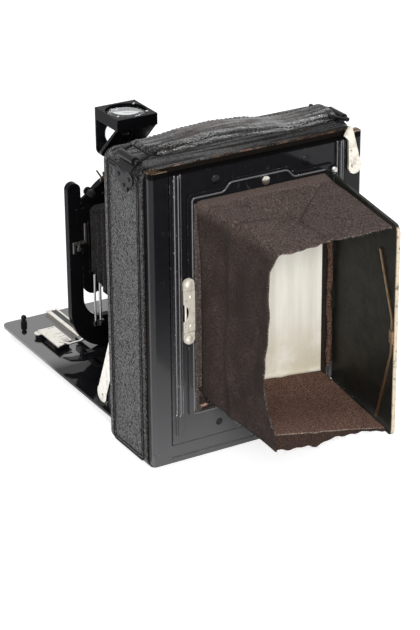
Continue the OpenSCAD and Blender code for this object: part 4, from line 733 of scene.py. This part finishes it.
def wrinkles(u, v, seed, size=1.0):
    """Small wrinkles: a sum of slanted waves, each with its own length and direction."""
    draw = np.random.default_rng(seed)
    total = 0 * (u + v)
    for k in range(14):
        a, b, start = draw.normal(0, 3.2 + 0.9 * k), draw.normal(0, 3.2 + 0.9 * k), draw.uniform(0, 6.3)
        total = total + np.sin(a * u + b * v + start) / (2.2 + 0.75 * k)
    return 0.22 * size * total


def top_cloth(u, v):
    """u runs from the lid to the side, v from the frame to the hem. The height falls straight from root
    to hem, less a sine over v of broad folds, sag and sharp creases, and the doubled part lies higher."""
    x0 = LEFT_ROOT + (LEFT_HEM - LEFT_ROOT) * v
    x1 = RIGHT_ROOT + 0.2 + (RIGHT_HEM - RIGHT_ROOT) * v + 2.5 * (1 - v) ** 3
    broad = 0.9 * fold_at(u - 0.95 * v, 0.3) + 0.8 * fold_at(1 - u - 0.95 * v, 0.3)
    crossing = np.interp(u, [0.54, 0.61, 0.75, 0.97], [0.52, 0.47, 0.44, 0.45])
    middle = np.interp(v, [0.2, 0.5, 0.68, 0.92], [0.505, 0.535, 0.52, 0.55])
    slant = 0.51 * (v - 0.04) / 0.49
    sharp = 0.9 * bump_at(v, crossing, 0.014) * np.clip((u - 0.5) * 12, 0, 1)
    sharp = sharp + 0.75 * bump_at(u, middle, 0.013) * np.clip((v - 0.2) * 5, 0, 1)
    sharp = sharp + 0.55 * bump_at(u, slant, 0.016) * np.clip((0.55 - u) * 12, 0, 1)
    sharp = sharp - 0.8 * np.clip((v - crossing) * 9, 0, 1) * np.clip((u - 0.53) * 9, 0, 1)
    doubled = 0.5 * np.clip((0.115 + 0.012 * np.sin(9 * u) - v) * 90, 0, 1)
    fall = broad + 0.8 * np.sin(np.pi * u) + 3.2 * sharp
    z = TOP_ROOT + (TOP_HEM - TOP_ROOT) * v - np.sin(np.pi * v) * fall + doubled
    z = z - 0.9 * v * fold_at(u - 0.8, 0.25) + wrinkles(u, v, 3, 1.5) * np.minimum(1, 6 * v)
    ragged = 0.35 * np.sin(31 * u) + 0.3 * np.sin(57 * u + 1) + 0.5 * np.sin(9 * u)
    y = ROOT_Y + (HEM_Y + ragged * v**6 - ROOT_Y) * v
    return points_of(x0 + (x1 - x0) * u, y, z)


def side_cloth(u, v):
    """u runs from the frame to the hem, v from the lower edge up to the top. drawn is how far the hem has
    shrunk back at each height, and two folds and a sine wave move the cloth in and out."""
    drawn = np.interp(v, [0, 0.09, 0.24, 0.34, 0.48, 0.7, 0.9, 1], [1, 2, 11, 12, 9.5, 7, 6.4, 0.4])
    drawn = drawn + (0.5 * np.sin(17 * v) + 0.35 * np.sin(41 * v + 2)) * np.sin(np.pi * v)
    high = TOP_ROOT - 1.2 + (TOP_HEM - TOP_ROOT - 0.6) * u
    y = ROOT_Y + (HEM_Y - drawn - ROOT_Y) * u
    x = RIGHT_ROOT + (RIGHT_HEM - RIGHT_ROOT) * u - 1.2 * np.sin(np.pi * u)
    x = x + 1.3 * fold_at(u - 0.40 - 0.05 * v, 0.10)
    x = x + 0.45 * np.sin(np.pi * u) * np.sin(3 * np.pi * v)
    x = x - 0.6 * fold_at(u - 0.75 - 0.2 * v, 0.08) * np.sin(np.pi * v)
    x = x + 2.5 * (1 - u) ** 3 * np.clip((v - 0.6) / 0.4, 0, 1) ** 1.4
    x = x + wrinkles(u, v, 5, 2.6) * np.minimum(1, 5 * u)
    low = 35.2 + 2.6 * fold_at(u, 0.12)
    return points_of(x, y, low + (high - low) * v)


def smooth_corner(points, row, reach=4):
    """Turns a corner softly: each row near it becomes a quarter of the row before, half of itself and a
    quarter of the row after, several times over."""
    rounded = points.copy()
    for _ in range(reach):
        near = slice(row - reach, row + reach + 1)
        before, after = rounded[row - reach - 1:row + reach], rounded[row - reach + 1:row + reach + 2]
        rounded[near] = (before + rounded[near] * 2 + after) / 4
    return rounded


depth = np.linspace(0, 1, 90)
over = top_cloth(np.linspace(0, 1, 90)[:, None], depth[None, :])
down = side_cloth(depth[None, :], np.linspace(1, 0, 130)[:, None])
hood_points = smooth_corner(np.concatenate([over, down[1:]]), 89)
hood = surface("hood_cloth", hood_points, hood_cloth_finish, "focusing_back")
thicken(hood, "cloth thickness", 0.9)
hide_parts("hood_top_cloth", "hood_side_cloth")
print("top and side cloth:", in_mm(hood), "mm")

# %% [markdown]
# ### The bottom cloth
# The bottom strip rises towards the side, and its hem has come loose and hangs down as a flap. A hanging
# flap could be a second sheet, but then the fold between them would be an edge. So it is the last tenth
# of the same grid, which goes down instead of on. A cord shows in the fold, and a small dark tab of
# cloth closes the corner beside the frame.

# %% Bottom cloth with its turned-down hem
def bottom_cloth(u, v):
    """u runs from the lid to the side, v from the frame to the hem, whose last part hangs down. The height
    rises with u, less a sine that sags the middle and one narrow fold. f runs to the fold of the hem, and
    from there g takes off the flap's length, which differs along the hem."""
    turned = 0.90
    f, g = np.minimum(1, v / turned), np.maximum(0, (v - turned) / (1 - turned))
    x0 = LEFT_ROOT - 0.2 + (LEFT_HEM - LEFT_ROOT) * f
    x1 = RIGHT_ROOT - 1.3 + (RIGHT_HEM - RIGHT_ROOT + 0.75) * f
    x1 = x1 + 0.75 * np.minimum(1, 8 * g)
    x = x0 + (x1 - x0) * u
    flap = np.interp(x, [-20, -8.6, 3, 12, 31], [0.5, 1.3, 3.4, 6.2, 7.0])
    flap = flap + 0.4 * np.sin(23 * u) + 0.3 * np.sin(51 * u)
    z = 31.6 + 6.6 * u**0.9 + 5.4 * u * f - 0.7 * np.sin(np.pi * u) * np.sin(np.pi * f)
    z = z + wrinkles(u, v, 8, 1.3) * np.minimum(1, 5 * f) - 0.5 * fold_at(u - 0.35 - 0.3 * f, 0.06)
    z = z - np.maximum(0.4, flap) * g**1.2
    y = ROOT_Y + (HEM_Y - 1 - ROOT_Y) * f + 0.9 * np.sin(np.pi / 2 * g)
    return points_of(x, y, z)


across = np.linspace(0, 1, 90)[:, None]
to_hem = np.concatenate([np.linspace(0, 0.88, 70), np.linspace(0.89, 1, 22)])[None, :]
floor_points = bottom_cloth(across, to_hem)
hood_floor = surface("hood_floor_cloth", floor_points, floor_cloth_finish, "focusing_back")
thicken(hood_floor, "cloth thickness", 0.8)
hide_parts("hood_bottom_cloth")
hem_line = bottom_cloth(np.linspace(0.01, 0.995, 90)[:, None], np.array([[0.90]]))[:, 0] + [0, 0.15, 0.25]
hem_cord = closed_tube("bottom_hem_cord", hem_line, 0.30, 8, hem_finish, "focusing_back")
tab_x, tab_z = np.linspace(24, 33.6, 16)[:, None], np.linspace(28.2, 40.5, 20)[None, :]
tab_y = 24.3 + 0.35 * np.sin(tab_x * 0.9) * np.sin(tab_z * 0.7) + 0.5 * np.clip((tab_z - 36) / 4, 0, 1)
tab = surface("corner_tab", points_of(tab_x, tab_y, tab_z)[::-1], tab_finish, "focusing_back")
thicken(tab, "cloth thickness", 0.4)
print("bottom cloth:", in_mm(hood_floor), "mm, hem cord:", in_mm(hem_cord), "mm")

# %% [markdown]
# ## Frayed hems and small soft trim
# The hood's front hems have lost their stitching, so loose threads stand out there. Each thread is one
# bent sliver, copied to a few hundred places with a turn and length of its own. Blender's hair could make
# them too, but plain faces stay with the piece wherever it is taken.

# %% Loose threads
def loose_threads(name, roots, out, count, longest, body, finish):
    """Bent slivers at points picked along an edge, pointing along out with a random lean."""
    pick = rng.uniform(0, len(roots) - 1.001, count)
    low = pick.astype(int)
    base = roots[low] + (roots[low + 1] - roots[low]) * (pick - low)[:, None]
    axis = out + rng.normal(0, 0.45, (count, 3))
    axis /= np.linalg.norm(axis, axis=1, keepdims=True)
    side = np.cross(axis, rng.normal(0, 1, (count, 3)))
    side /= np.linalg.norm(side, axis=1, keepdims=True)
    size = longest * rng.uniform(0.25, 1, count) ** 2
    places = np.stack([axis * size[:, None], side * 0.16, np.cross(axis, side) * size[:, None] * 0.4,
                       base - axis * 0.3], 1)
    sliver = [[t, w * (1 - 0.7 * t), t * t] for t in (0, 0.35, 0.7, 1) for w in (-0.5, 0.5)]
    sliver += [[t, 0, t * t + 0.35 / longest * (1 - 0.7 * t)] for t in (0, 0.35, 0.7, 1)]
    faces = [[2 * k, 2 * k + 1, 2 * k + 3, 2 * k + 2] for k in range(3)]
    faces += [[2 * k + 2, 8 + k + 1, 8 + k, 2 * k] for k in range(3)]
    faces += [[2 * k + 1, 8 + k, 8 + k + 1, 2 * k + 3] for k in range(3)]
    points, all_faces = copies(sliver, faces + [[0, 8, 1], [6, 7, 11]], places)
    return mesh_piece(name, points, all_faces, finish, body)


fringe = [
    loose_threads(name, roots, np.array(out), count, longest, "focusing_back", lint_finish.material)
    for name, roots, out, count, longest in (
        ("side_hem_threads", down[:, -1], [0, 1.0, 0], 260, 2.4),
        ("top_hem_threads", over[:, -1], [0, 1.0, -0.3], 160, 1.6),
        ("bottom_hem_threads", floor_points[:, -1], [0, 0.4, -1.0], 200, 2.2),
        ("side_foot_threads", down[-1], [0.2, 0, -1.0], 90, 1.8))]
for piece in [hood, hood_floor, hem_cord, tab] + fringe:
    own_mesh(piece)
print("threads:", sum(len(piece.data.polygons) for piece in fringe), "faces")

# %% [markdown]
# ### Piping
# A rolled edge of worn cloth runs down beside the lid's hinge. It could be a straight cylinder, but that
# reads as metal. So it is a tube whose middle sways and whose thickness swells and shrinks by sines. A
# flat dark strip closes the gap between it and the glass.

# %% Piping beside the lid's hinge
z = np.linspace(36, 129.2, 220)
path = np.stack([-36.9 + 0.22 * np.sin(z / 5) + 0.1 * np.sin(z / 1.7), 28.4 + 0.2 * np.sin(z / 7 + 1), z], 1)
thick = 1.2 + 0.12 * np.sin(z / 3.1) + 0.1 * np.sin(z / 1.15 + 2)
thick = thick - 0.5 * bump_at(z, 36, 1.2) - 0.6 * bump_at(z, 129.2, 1.2)
piping = closed_tube("hinge_piping", path, thick, 20, piping_finish, "focusing_back")
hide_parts("hood_roll")
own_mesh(piping)

# a dark strip closes the gap between the piping and the glass
strip_y, strip_z = np.linspace(20.8, 25.1, 4)[:, None], np.linspace(28.6, 135, 60)[None, :]
strip_x = -37.48 + 0.12 * np.sin(strip_z / 4) * (strip_y > 24)
strip = surface("glass_side_strip", points_of(strip_x, strip_y, strip_z), tab_finish, "focusing_back")
thicken(strip, "cloth thickness", 0.15)
print("piping:", in_mm(piping), "mm, strip:", in_mm(strip), "mm")

# %% [markdown]
# ### Felt
# A strip of felt keeps light out beside the side cloth. Felt has no weave, only a soft uneven pile, so
# each point of the grid is moved by a little random height, less at the rounded edges. Its lower end is
# torn: a tuft stands there, and a pink end, which has kept its colour, curls away.

# %% Felt strip with its torn lower end
x = np.linspace(31.2, 35.7, 15)[:, None]
z = np.linspace(28.5, 134.2, 320)[None, :]
wear = np.random.default_rng(4).normal(0, 1, (15, 320))
edge = np.minimum(1, 2.6 * np.sqrt(np.clip(1 - ((x - 33.45) / 2.25) ** 2, 0, 1)))
step = np.clip((x - 33.3) / 0.7, 0, 1)
height = 24.02 + (0.46 + 0.05 * wear) * edge + 1.3 * step * step * (3 - 2 * step) + 0 * z
felt = surface("felt_strip", points_of(x + 0.12 * np.sin(z / 3), height, z)[::-1], felt_finish,
               "focusing_back")
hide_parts("hood_felt")
z = np.linspace(28.3, 31.4, 20)
bulge = 0.1 + 0.75 * np.sqrt(np.clip(1 - ((z - 29.85) / 1.55) ** 2, 0, 1))
path = np.stack([33.3 + 0 * z, 24.6 + 0 * z, z], 1)
closed_tube("felt_tuft", path, bulge, 14, felt_finish, "focusing_back")
t = np.linspace(0, 1, 24)
path = np.stack([33.6 - 5.2 * t, 24.7 + 0.2 * np.sin(3 * t), 30.3 + 0.9 * t - 0.5 * t**2], 1)
bulge = 0.12 + 0.62 * np.sqrt(np.sin(np.pi * np.clip(t, 0.03, 0.97)))
closed_tube("felt_end", path, bulge, 12, felt_end_finish, "focusing_back")
print("felt strip:", in_mm(felt), "mm")

# %% [markdown]
# ## Tooled lines on the leather
# A heated wheel pressed two lines round each side, so the leather stands up between them. A line is a
# thin flattened tube round a rectangle with soft corners, half sunk into the leather.

# %% Border lines
HALF_WIDTH, HALF_DEPTH, SIDE_LOW, SIDE_HIGH = 58.5, 18, 0.5, 151.5


def rounded_loop(half_y, low, high, r, count=12):
    """A closed path in the plane of y and z round a rectangle with quarter-circle corners."""
    arc = np.linspace(0, np.pi / 2, count)
    corners = [(half_y - r, high - r), (-half_y + r, high - r), (-half_y + r, low + r), (half_y - r, low + r)]
    quarters = []
    for k, (y, z) in enumerate(corners):
        turned = arc + k * np.pi / 2
        quarters.append(np.stack([y + r * np.cos(turned), z + r * np.sin(turned)], 1))
    return np.concatenate(quarters)


for side, word in ((1, "left"), (-1, "right")):
    for inset, size in ((3.1, 0.55), (4.7, 0.34)):
        loop = rounded_loop(HALF_DEPTH - inset, inset + SIDE_LOW, SIDE_HIGH - inset, 2.2)
        gap = np.linalg.norm(np.roll(loop, -1, 0) - loop, axis=1)
        count = np.maximum(1, (gap / 2.0).astype(int))
        dense = np.concatenate([a + (b - a) * np.linspace(0, 1, n, endpoint=False)[:, None]
                                for a, b, n in zip(loop, np.roll(loop, -1, 0), count)])
        out = np.roll(dense, -1, 0) - np.roll(dense, 1, 0)
        out = np.stack([-out[:, 1], out[:, 0]], 1) / np.linalg.norm(out, axis=1, keepdims=True)
        turn = full_turn(10)
        y = dense[:, :1] + out[:, :1] * size * np.cos(turn)
        z = dense[:, 1:] + out[:, 1:] * size * np.cos(turn)
        x = side * (HALF_WIDTH + size * 0.45 * np.sin(turn)) + 0 * y
        rings = np.stack([x, y, z], -1)
        surface(f"border_line_{word}_{int(inset)}", rings[:, ::side], tooled_line, "camera_body",
                round_i=True, round_j=True)
print("border lines: 4, the inner ones", round(float(np.ptp(z)), 1), "mm high")

# %% [markdown]
# ## Beads of the focusing back
# The back is pressed sheet, stiffened by rounded beads. Three run down each side, and one goes round the
# hood's opening, with a step up over the button. A bead is a thin tube half sunk into the sheet, and its
# path turns corners on small arcs: every corner point is replaced by a curve between its neighbours.

# %% Beads
def soft_path(corners, reach=1.6, count=8):
    """Each inner corner becomes a quadratic curve that starts and ends reach before and after it."""
    corners = np.asarray(corners, float)
    before, here, after = corners[:-2], corners[1:-1], corners[2:]
    start = here + (before - here) / np.linalg.norm(before - here, axis=1, keepdims=True) * reach
    end = here + (after - here) / np.linalg.norm(after - here, axis=1, keepdims=True) * reach
    t = np.linspace(0, 1, count)[None, :, None]
    arcs = start[:, None] * (1 - t) ** 2 + 2 * here[:, None] * t * (1 - t) + end[:, None] * t**2
    return np.concatenate([corners[:1], arcs.reshape(-1, 3), corners[-1:]])


def bead(name, path, radius):
    """A tube along the path, with round ends: near an end its radius is that of a quarter circle."""
    path = np.asarray(path, float)
    run = np.concatenate([[0], np.cumsum(np.linalg.norm(np.diff(path, axis=0), axis=1))])
    tip = radius * (1 - np.sin(np.linspace(0.15, np.pi / 2, 6)))
    between = run[(run > radius) & (run < run[-1] - radius)]
    evenly = np.linspace(radius, run[-1] - radius, 60)
    at = np.unique(np.concatenate([tip, between, run[-1] - tip, evenly]))
    line = np.stack([np.interp(at, run, path[:, k]) for k in range(3)], 1)
    end = np.clip(np.minimum(at, run[-1] - at) / radius, 0, 1)
    thin = np.maximum(0.05, radius * np.sqrt(1 - (1 - end) ** 2))
    return closed_tube(name, line, thin, 12, enamel_bead_painted_highlight, "focusing_back")


for side, word in ((1, "left"), (-1, "right")):
    for k, (x, y, r) in enumerate(((45.3, 24.9, 0.5), (43.8, 25.75, 0.42), (42.3, 24.9, 0.5))):
        path = soft_path([[side * x, y, 28.6], [side * x, y, 90], [side * x, y, 149.6]])
        bead(f"side_bead_{word}_{k}", path, r)
ring = [[24, 24.1, 27.2], [36.4, 24.2, 27.2], [36.4, 25.5, 30.5], [36.4, 25.5, 136.9], [19.8, 25.5, 136.9],
        [16.4, 25.5, 140.9], [-14.4, 25.5, 140.9], [-17.8, 25.5, 136.9], [-35.5, 25.5, 136.9]]
ring_bead = bead("hood_ring_bead", soft_path(ring), 0.5)
print("ring bead:", round(float(ring_bead.dimensions.z / MM), 1), "mm high")

# %% [markdown]
# ### Chips and painted glints
# Where the beads stand out they are knocked first, so bright metal shows in small chips along them. The
# enamel's own noise wears edges everywhere, but it can't be told where. These few are listed: each
# is a thin box of steel laid on the bead, with a lean and a size drawn at random.
# Two of them, on the ring bead beside the step over the button, are painted glints: bright steel where the
# bead catches the light.

# %% Chips in the paint and painted glints
def turned_axes(angle):
    """Three axes for each angle, turned about y: (cos, 0, sin), (0, 1, 0) and (-sin, 0, cos)."""
    c, s, none = np.cos(angle), np.sin(angle), 0 * angle
    return np.stack([np.stack([c, none, s], 1), np.stack([none, none + 1, none], 1),
                     np.stack([-s, none, c], 1)], 1)


# The two at x -17.0 and -20.5, beside the step of the ring bead, are painted glints.
chip_and_glint_at = np.array([
    [45.6, 25.3, 149.4], [44.2, 26.1, 149.0], [45.9, 25.1, 147.2], [45.7, 25.2, 144.0], [42.6, 25.3, 149.3],
    [45.8, 25.1, 139.5], [45.7, 25.2, 31.0], [45.8, 25.1, 29.2], [44.4, 26.1, 28.8], [-17.0, 25.9, 139.9],
    [-20.5, 25.9, 137.2], [36.8, 25.9, 99.0], [36.9, 25.8, 84.0], [45.8, 25.1, 112.0], [45.9, 25.1, 71.0],
    [45.8, 25.2, 52.0]])
lean = rng.uniform(-0.6, 0.6, len(chip_and_glint_at))
size = rng.uniform(0.25, 0.9, len(chip_and_glint_at))
turned = turned_axes(lean) * np.stack([0.35 * size + 0.2, 0 * size + 0.14, size + 0.25], 1)[:, :, None]
chip_points, chip_faces = copies(BOX, BOX_FACES, np.concatenate([turned, chip_and_glint_at[:, None]], 1))
mesh_piece("chips_and_painted_glints", chip_points, chip_faces, steel, "focusing_back", smooth=False)
print("chips:", len(chip_and_glint_at))

# %% [markdown]
# ### Trim of the finder
# The finder's front window sits in a thin brass ring, and three small claws hold its upper lens. The ring
# is a tube bent round a circle, and the claws are boxes set radially, which is all that such small parts
# show.

# %% Trim of the finder
FINDER_X = 6.8


def circle_at(x, y, z, r, angle):
    """Points at the given angles on a circle of radius r that faces the lens side."""
    return np.stack([x + r * np.cos(angle), np.full_like(angle, y), z + r * np.sin(angle)], 1)


angle = full_turn(64)
circle = circle_at(FINDER_X, -104.9, 123.6, 6.75, angle)
cross = full_turn(8)
out = np.stack([np.cos(angle), 0 * angle, np.sin(angle)], 1)
c, s = np.cos(cross)[None, :, None], np.sin(cross)[None, :, None]
ring = circle[:, None] + 0.38 * (c * out[:, None] + s * np.array([0, 1.0, 0]))
surface("finder_window_ring", ring, brass, "finder", round_i=True, round_j=True)
angle = np.radians([40, 140, 220])
c, s, none = np.cos(angle), np.sin(angle), 0 * angle
claw = np.stack([np.stack([c, s, none], 1) * 1.5, np.stack([-s, c, none], 1) * 0.8,
                 np.stack([none, none, none + 0.3], 1),
                 np.stack([FINDER_X + 10.6 * c, -92.9 + 10.6 * s, none + 138.55], 1)], 1)
points, faces = copies(BOX, BOX_FACES, claw)
mesh_piece("finder_lens_claws", points, faces, nickel, "finder", smooth=False)
print("finder: one ring,", len(angle), "claws")

# %% [markdown]
# ## Marks and inner details
# The tripod bushes have a coarse screw thread. A thread could be a helix swept round an axis. Here the
# wall of the hole is one grid, and its radius follows a zigzag that moves on by one pitch for each turn,
# which gives the same helix without a sweep.

# %% Threads in the tripod bushes
turn, run = np.meshgrid(full_turn(48), np.linspace(0, 1, 90), indexing="ij")
ridge = np.abs((run * 5.8 / 1.27 - turn / (2 * np.pi)) % 1 - 0.5) * 2
radius = 3.93 - 0.42 * np.clip(1.3 * ridge - 0.15, 0, 1)
a, b, length = radius * np.cos(turn), radius * np.sin(turn), run * 5.6
for name, grid in (("base_bush_thread", np.stack([a, 8 + b, 0.5 + length], -1)),
                   ("side_bush_thread", np.stack([-58.1 + length * 1.2, a, 76 + b], -1))):
    piece = surface(name, grid[::-1], brass, "camera_body", round_i=True)
    thicken(piece, "thread root", 0.05, -1)
    print(name, in_mm(piece), "mm")

# %% [markdown]
# ### Division marks
# The shutter's face has a ring of division marks, the speed dial has its own, and the focusing plate has
# distance marks, which crowd together towards the far end, because the lens moves less for far things:
# their places follow 1 over the distance. They could be drawn on an image. As thin bars they stay sharp
# from close by. The marks carry no figures. Two long dark bars are the grooves of the bed's tracks.

# %% Division marks
LENS_Z = 74  # height of the lens axis


def marks(name, centres, half, body, finish, turned=None):
    """Thin bars at many places: half sizes along x, y and z, turned in the lens plane by an angle each."""
    centres, half = np.asarray(centres, float), np.asarray(half, float)
    angle = np.zeros(len(centres)) if turned is None else turned
    places = np.concatenate([turned_axes(angle) * 2 * half[None, :, None], centres[:, None]], 1)
    points, faces = copies(BOX, BOX_FACES, places)
    return mesh_piece(name, points, faces, finish, body, smooth=False)


white_paint = Finish("engraved white marks", (0.66, 0.64, 0.58), 0.6).material
black_paint = Finish("engraved black marks", (0.02, 0.02, 0.02), 0.5).material
angle = np.radians(np.arange(-60, 241, 7.5))
ring = circle_at(0, -111.74, LENS_Z, 19.2, angle)
marks("shutter_marks", ring, (0.75, 0.06, 0.09), "rising_front", white_paint, angle)
angle = np.radians(np.arange(0, 360, 36))
ring = circle_at(0, -113.73, 96, 3.5, angle)
marks("speed_marks", ring, (0.5, 0.05, 0.08), "speed_setting", black_paint, angle)
far = 1 / np.linspace(1, 8, 15)
place = -130.2 + 21.5 * (1 - (far - far.min()) / (far.max() - far.min()))
rows = np.stack([np.full_like(place, 35.2), place, np.full_like(place, 10.42)], 1)
marks("distance_marks", rows, (1.9, 0.09, 0.03), "camera_body", black_paint)
marks("track_grooves", [[-22.8, -86, 9.3], [22.8, -86, 9.3]], (1.45, 66, 0.02), "camera_body",
      black_paint)
print("distance marks:", len(far))

# %% [markdown]
# ### Diaphragm blades
# Behind the front glass ten thin blades close in a spiral. Each blade is a small sheet whose inner edge
# moves outwards along its arc, and each lies a little behind the next. Real blades turn on pins, but only
# their overlapping edges show through the glass.

# %% Diaphragm blades
BLADES, OPEN_R, RIM_R = 10, 6.2, 11.2
share, out = np.meshgrid(np.linspace(0, 1, 14), np.linspace(0, 1, 6), indexing="ij")
points, faces = [], []
for k in range(BLADES):
    angle = np.radians(360 // BLADES * k + 74 * share)
    inner = OPEN_R + 4.6 * share**1.6
    radius = inner + (RIM_R - inner) * out
    y, z = -103.4 + 0.9 * share + 0 * out, LENS_Z + radius * np.sin(angle)
    start = k * share.size
    points.append(np.stack([radius * np.cos(angle), y, z], -1).reshape(-1, 3))
    faces += [[start + i * 6 + j, start + i * 6 + j + 1, start + (i + 1) * 6 + j + 1, start + (i + 1) * 6 + j]
              for i in range(13) for j in range(5)]
blades = mesh_piece("diaphragm_blades", np.concatenate(points), faces, satin, "rising_front")
thicken(blades, "blade thickness", 0.08, -1)
print("diaphragm:", BLADES, "blades round an opening of", 2 * OPEN_R, "mm")

# %% [markdown]
# ## Floor and world
# The floor and the world are plain white to the camera, to gloss and to glass. For every other ray the
# floor is ordinary pale paint, and the world is a soft even sky, so the object keeps its own light and
# its shadow. The Light Path node tells which kind of ray asks.

# %% Floor and world
def larger(tree, a, b):
    """The larger of two sockets."""
    made = tree.nodes.new("ShaderNodeMath")
    made.operation = "MAXIMUM"
    tree.links.new(a, made.inputs[0])
    tree.links.new(b, made.inputs[1])
    return made.outputs[0]


def background_rays(tree):
    """1 for rays from the camera, off gloss or through glass, and 0 for the others."""
    kind = tree.nodes.new("ShaderNodeLightPath").outputs
    first = larger(tree, kind["Is Camera Ray"], kind["Is Glossy Ray"])
    return larger(tree, first, kind["Is Transmission Ray"])


world = bpy.data.worlds.new("studio")
bpy.context.scene.world = world
world.use_nodes = True
sky = world.node_tree
plain = sky.nodes["Background"]
plain.inputs["Color"].default_value = (0.80, 0.86, 1.0, 1)
plain.inputs["Strength"].default_value = 0.22
white = sky.nodes.new("ShaderNodeBackground")
white.inputs["Color"].default_value = (1, 1, 1, 1)
white.inputs["Strength"].default_value = 1.0
choose = sky.nodes.new("ShaderNodeMixShader")
sky.links.new(background_rays(sky), choose.inputs[0])
sky.links.new(plain.outputs[0], choose.inputs[1])
sky.links.new(white.outputs[0], choose.inputs[2])
sky.links.new(choose.outputs[0], sky.nodes["World Output"].inputs[0])

paint = bpy.data.materials.new("pale floor")
paint.use_nodes = True
tree = paint.node_tree
matte = tree.nodes["Principled BSDF"]
matte.inputs["Base Color"].default_value = (0.62, 0.62, 0.63, 1)
matte.inputs["Roughness"].default_value = 1.0
matte.inputs["Specular IOR Level"].default_value = 0.0
glow = tree.nodes.new("ShaderNodeEmission")
glow.inputs["Color"].default_value = (1, 1, 1, 1)
lift = tree.nodes.new("ShaderNodeMath")
lift.operation = "MULTIPLY"
lift.inputs[1].default_value = 0.72
tree.links.new(background_rays(tree), lift.inputs[0])
tree.links.new(lift.outputs[0], glow.inputs["Strength"])
both = tree.nodes.new("ShaderNodeAddShader")
tree.links.new(matte.outputs[0], both.inputs[0])
tree.links.new(glow.outputs[0], both.inputs[1])
tree.links.new(both.outputs[0], tree.nodes["Material Output"].inputs["Surface"])
bpy.ops.mesh.primitive_plane_add(size=8)
floor = bpy.context.object
floor.name = "floor"
floor.data.materials.append(paint)
print("floor:", floor.name, "world:", world.name)

# %% [markdown]
# ## Lamps
# Three large soft lamps take the place of a studio's windows: one above, one on the hood's side and a
# weak one on the far side. Seen from the lens side, the second one would show as a hard white glare on the
# top surfaces, so it is hidden from gloss. Gloss then mirrors the white world, and the lamp still lights
# the cloth.

# %% Lamps
def lamp(name, position, target, size, watts, colour=(1, 1, 1)):
    """A square soft lamp at a place, turned to a target."""
    light = bpy.data.lights.new(name, "AREA")
    light.shape, light.size, light.energy, light.color = "SQUARE", size, watts, colour
    made = bpy.data.objects.new(name, light)
    position, target = np.array(position), np.array(target)
    made.location = position
    made.rotation_euler = Vector(target - position).to_track_quat("-Z", "Y").to_euler()
    bpy.context.scene.collection.objects.link(made)
    return made


lamp("window light", (0.5, 0.3, 1.5), (0, 0, 0.08), 0.55, 9)
front = lamp("front light", (0.62, 1.45, 0.72), (0, 0, 0.08), 0.6, 28, (1.0, 0.98, 0.95))
front.visible_glossy = False
lamp("rim light", (-0.9, -0.7, 1.2), (0, 0, 0.08), 0.6, 5, (0.95, 0.97, 1.0))

# %% [markdown]
# ## Camera
# The camera was matched to the photograph: 30 degrees round from straight behind, 24.5 degrees up, and
# rolled by less than half a degree. It could be aimed by a constraint, but the roll is easier to give by
# three axes: right, up and back are computed, and they fill the columns of the camera's matrix.

# %% Camera
turned, raised, rolled = math.radians(30.02), math.radians(24.51), math.radians(-0.43)
back = np.array([math.sin(turned) * math.cos(raised), math.cos(turned) * math.cos(raised), math.sin(raised)])
right = np.cross(-back, [0, 0, 1.0])
right /= np.linalg.norm(right)
up = np.cross(right, -back)
right, up = math.cos(rolled) * right + math.sin(rolled) * up, math.cos(rolled) * up - math.sin(rolled) * right
view = bpy.data.cameras.new("photo view")
view.sensor_width, view.lens = 36, 129.27
view.clip_start, view.clip_end = 0.05, 30
camera = bpy.data.objects.new("photo view", view)
stands_at = 0.507386, 0.855980, 0.514281  # metres
pose = Matrix.Identity(4)
for k, axis in enumerate((right, up, back, stands_at)):
    for row in range(3):
        pose[row][k] = float(axis[row])
camera.matrix_world = pose
bpy.context.scene.collection.objects.link(camera)
bpy.context.scene.camera = camera
bpy.context.scene.view_settings.view_transform = "Standard"
print("camera at", [round(v, 3) for v in camera.location])

# %% [markdown]
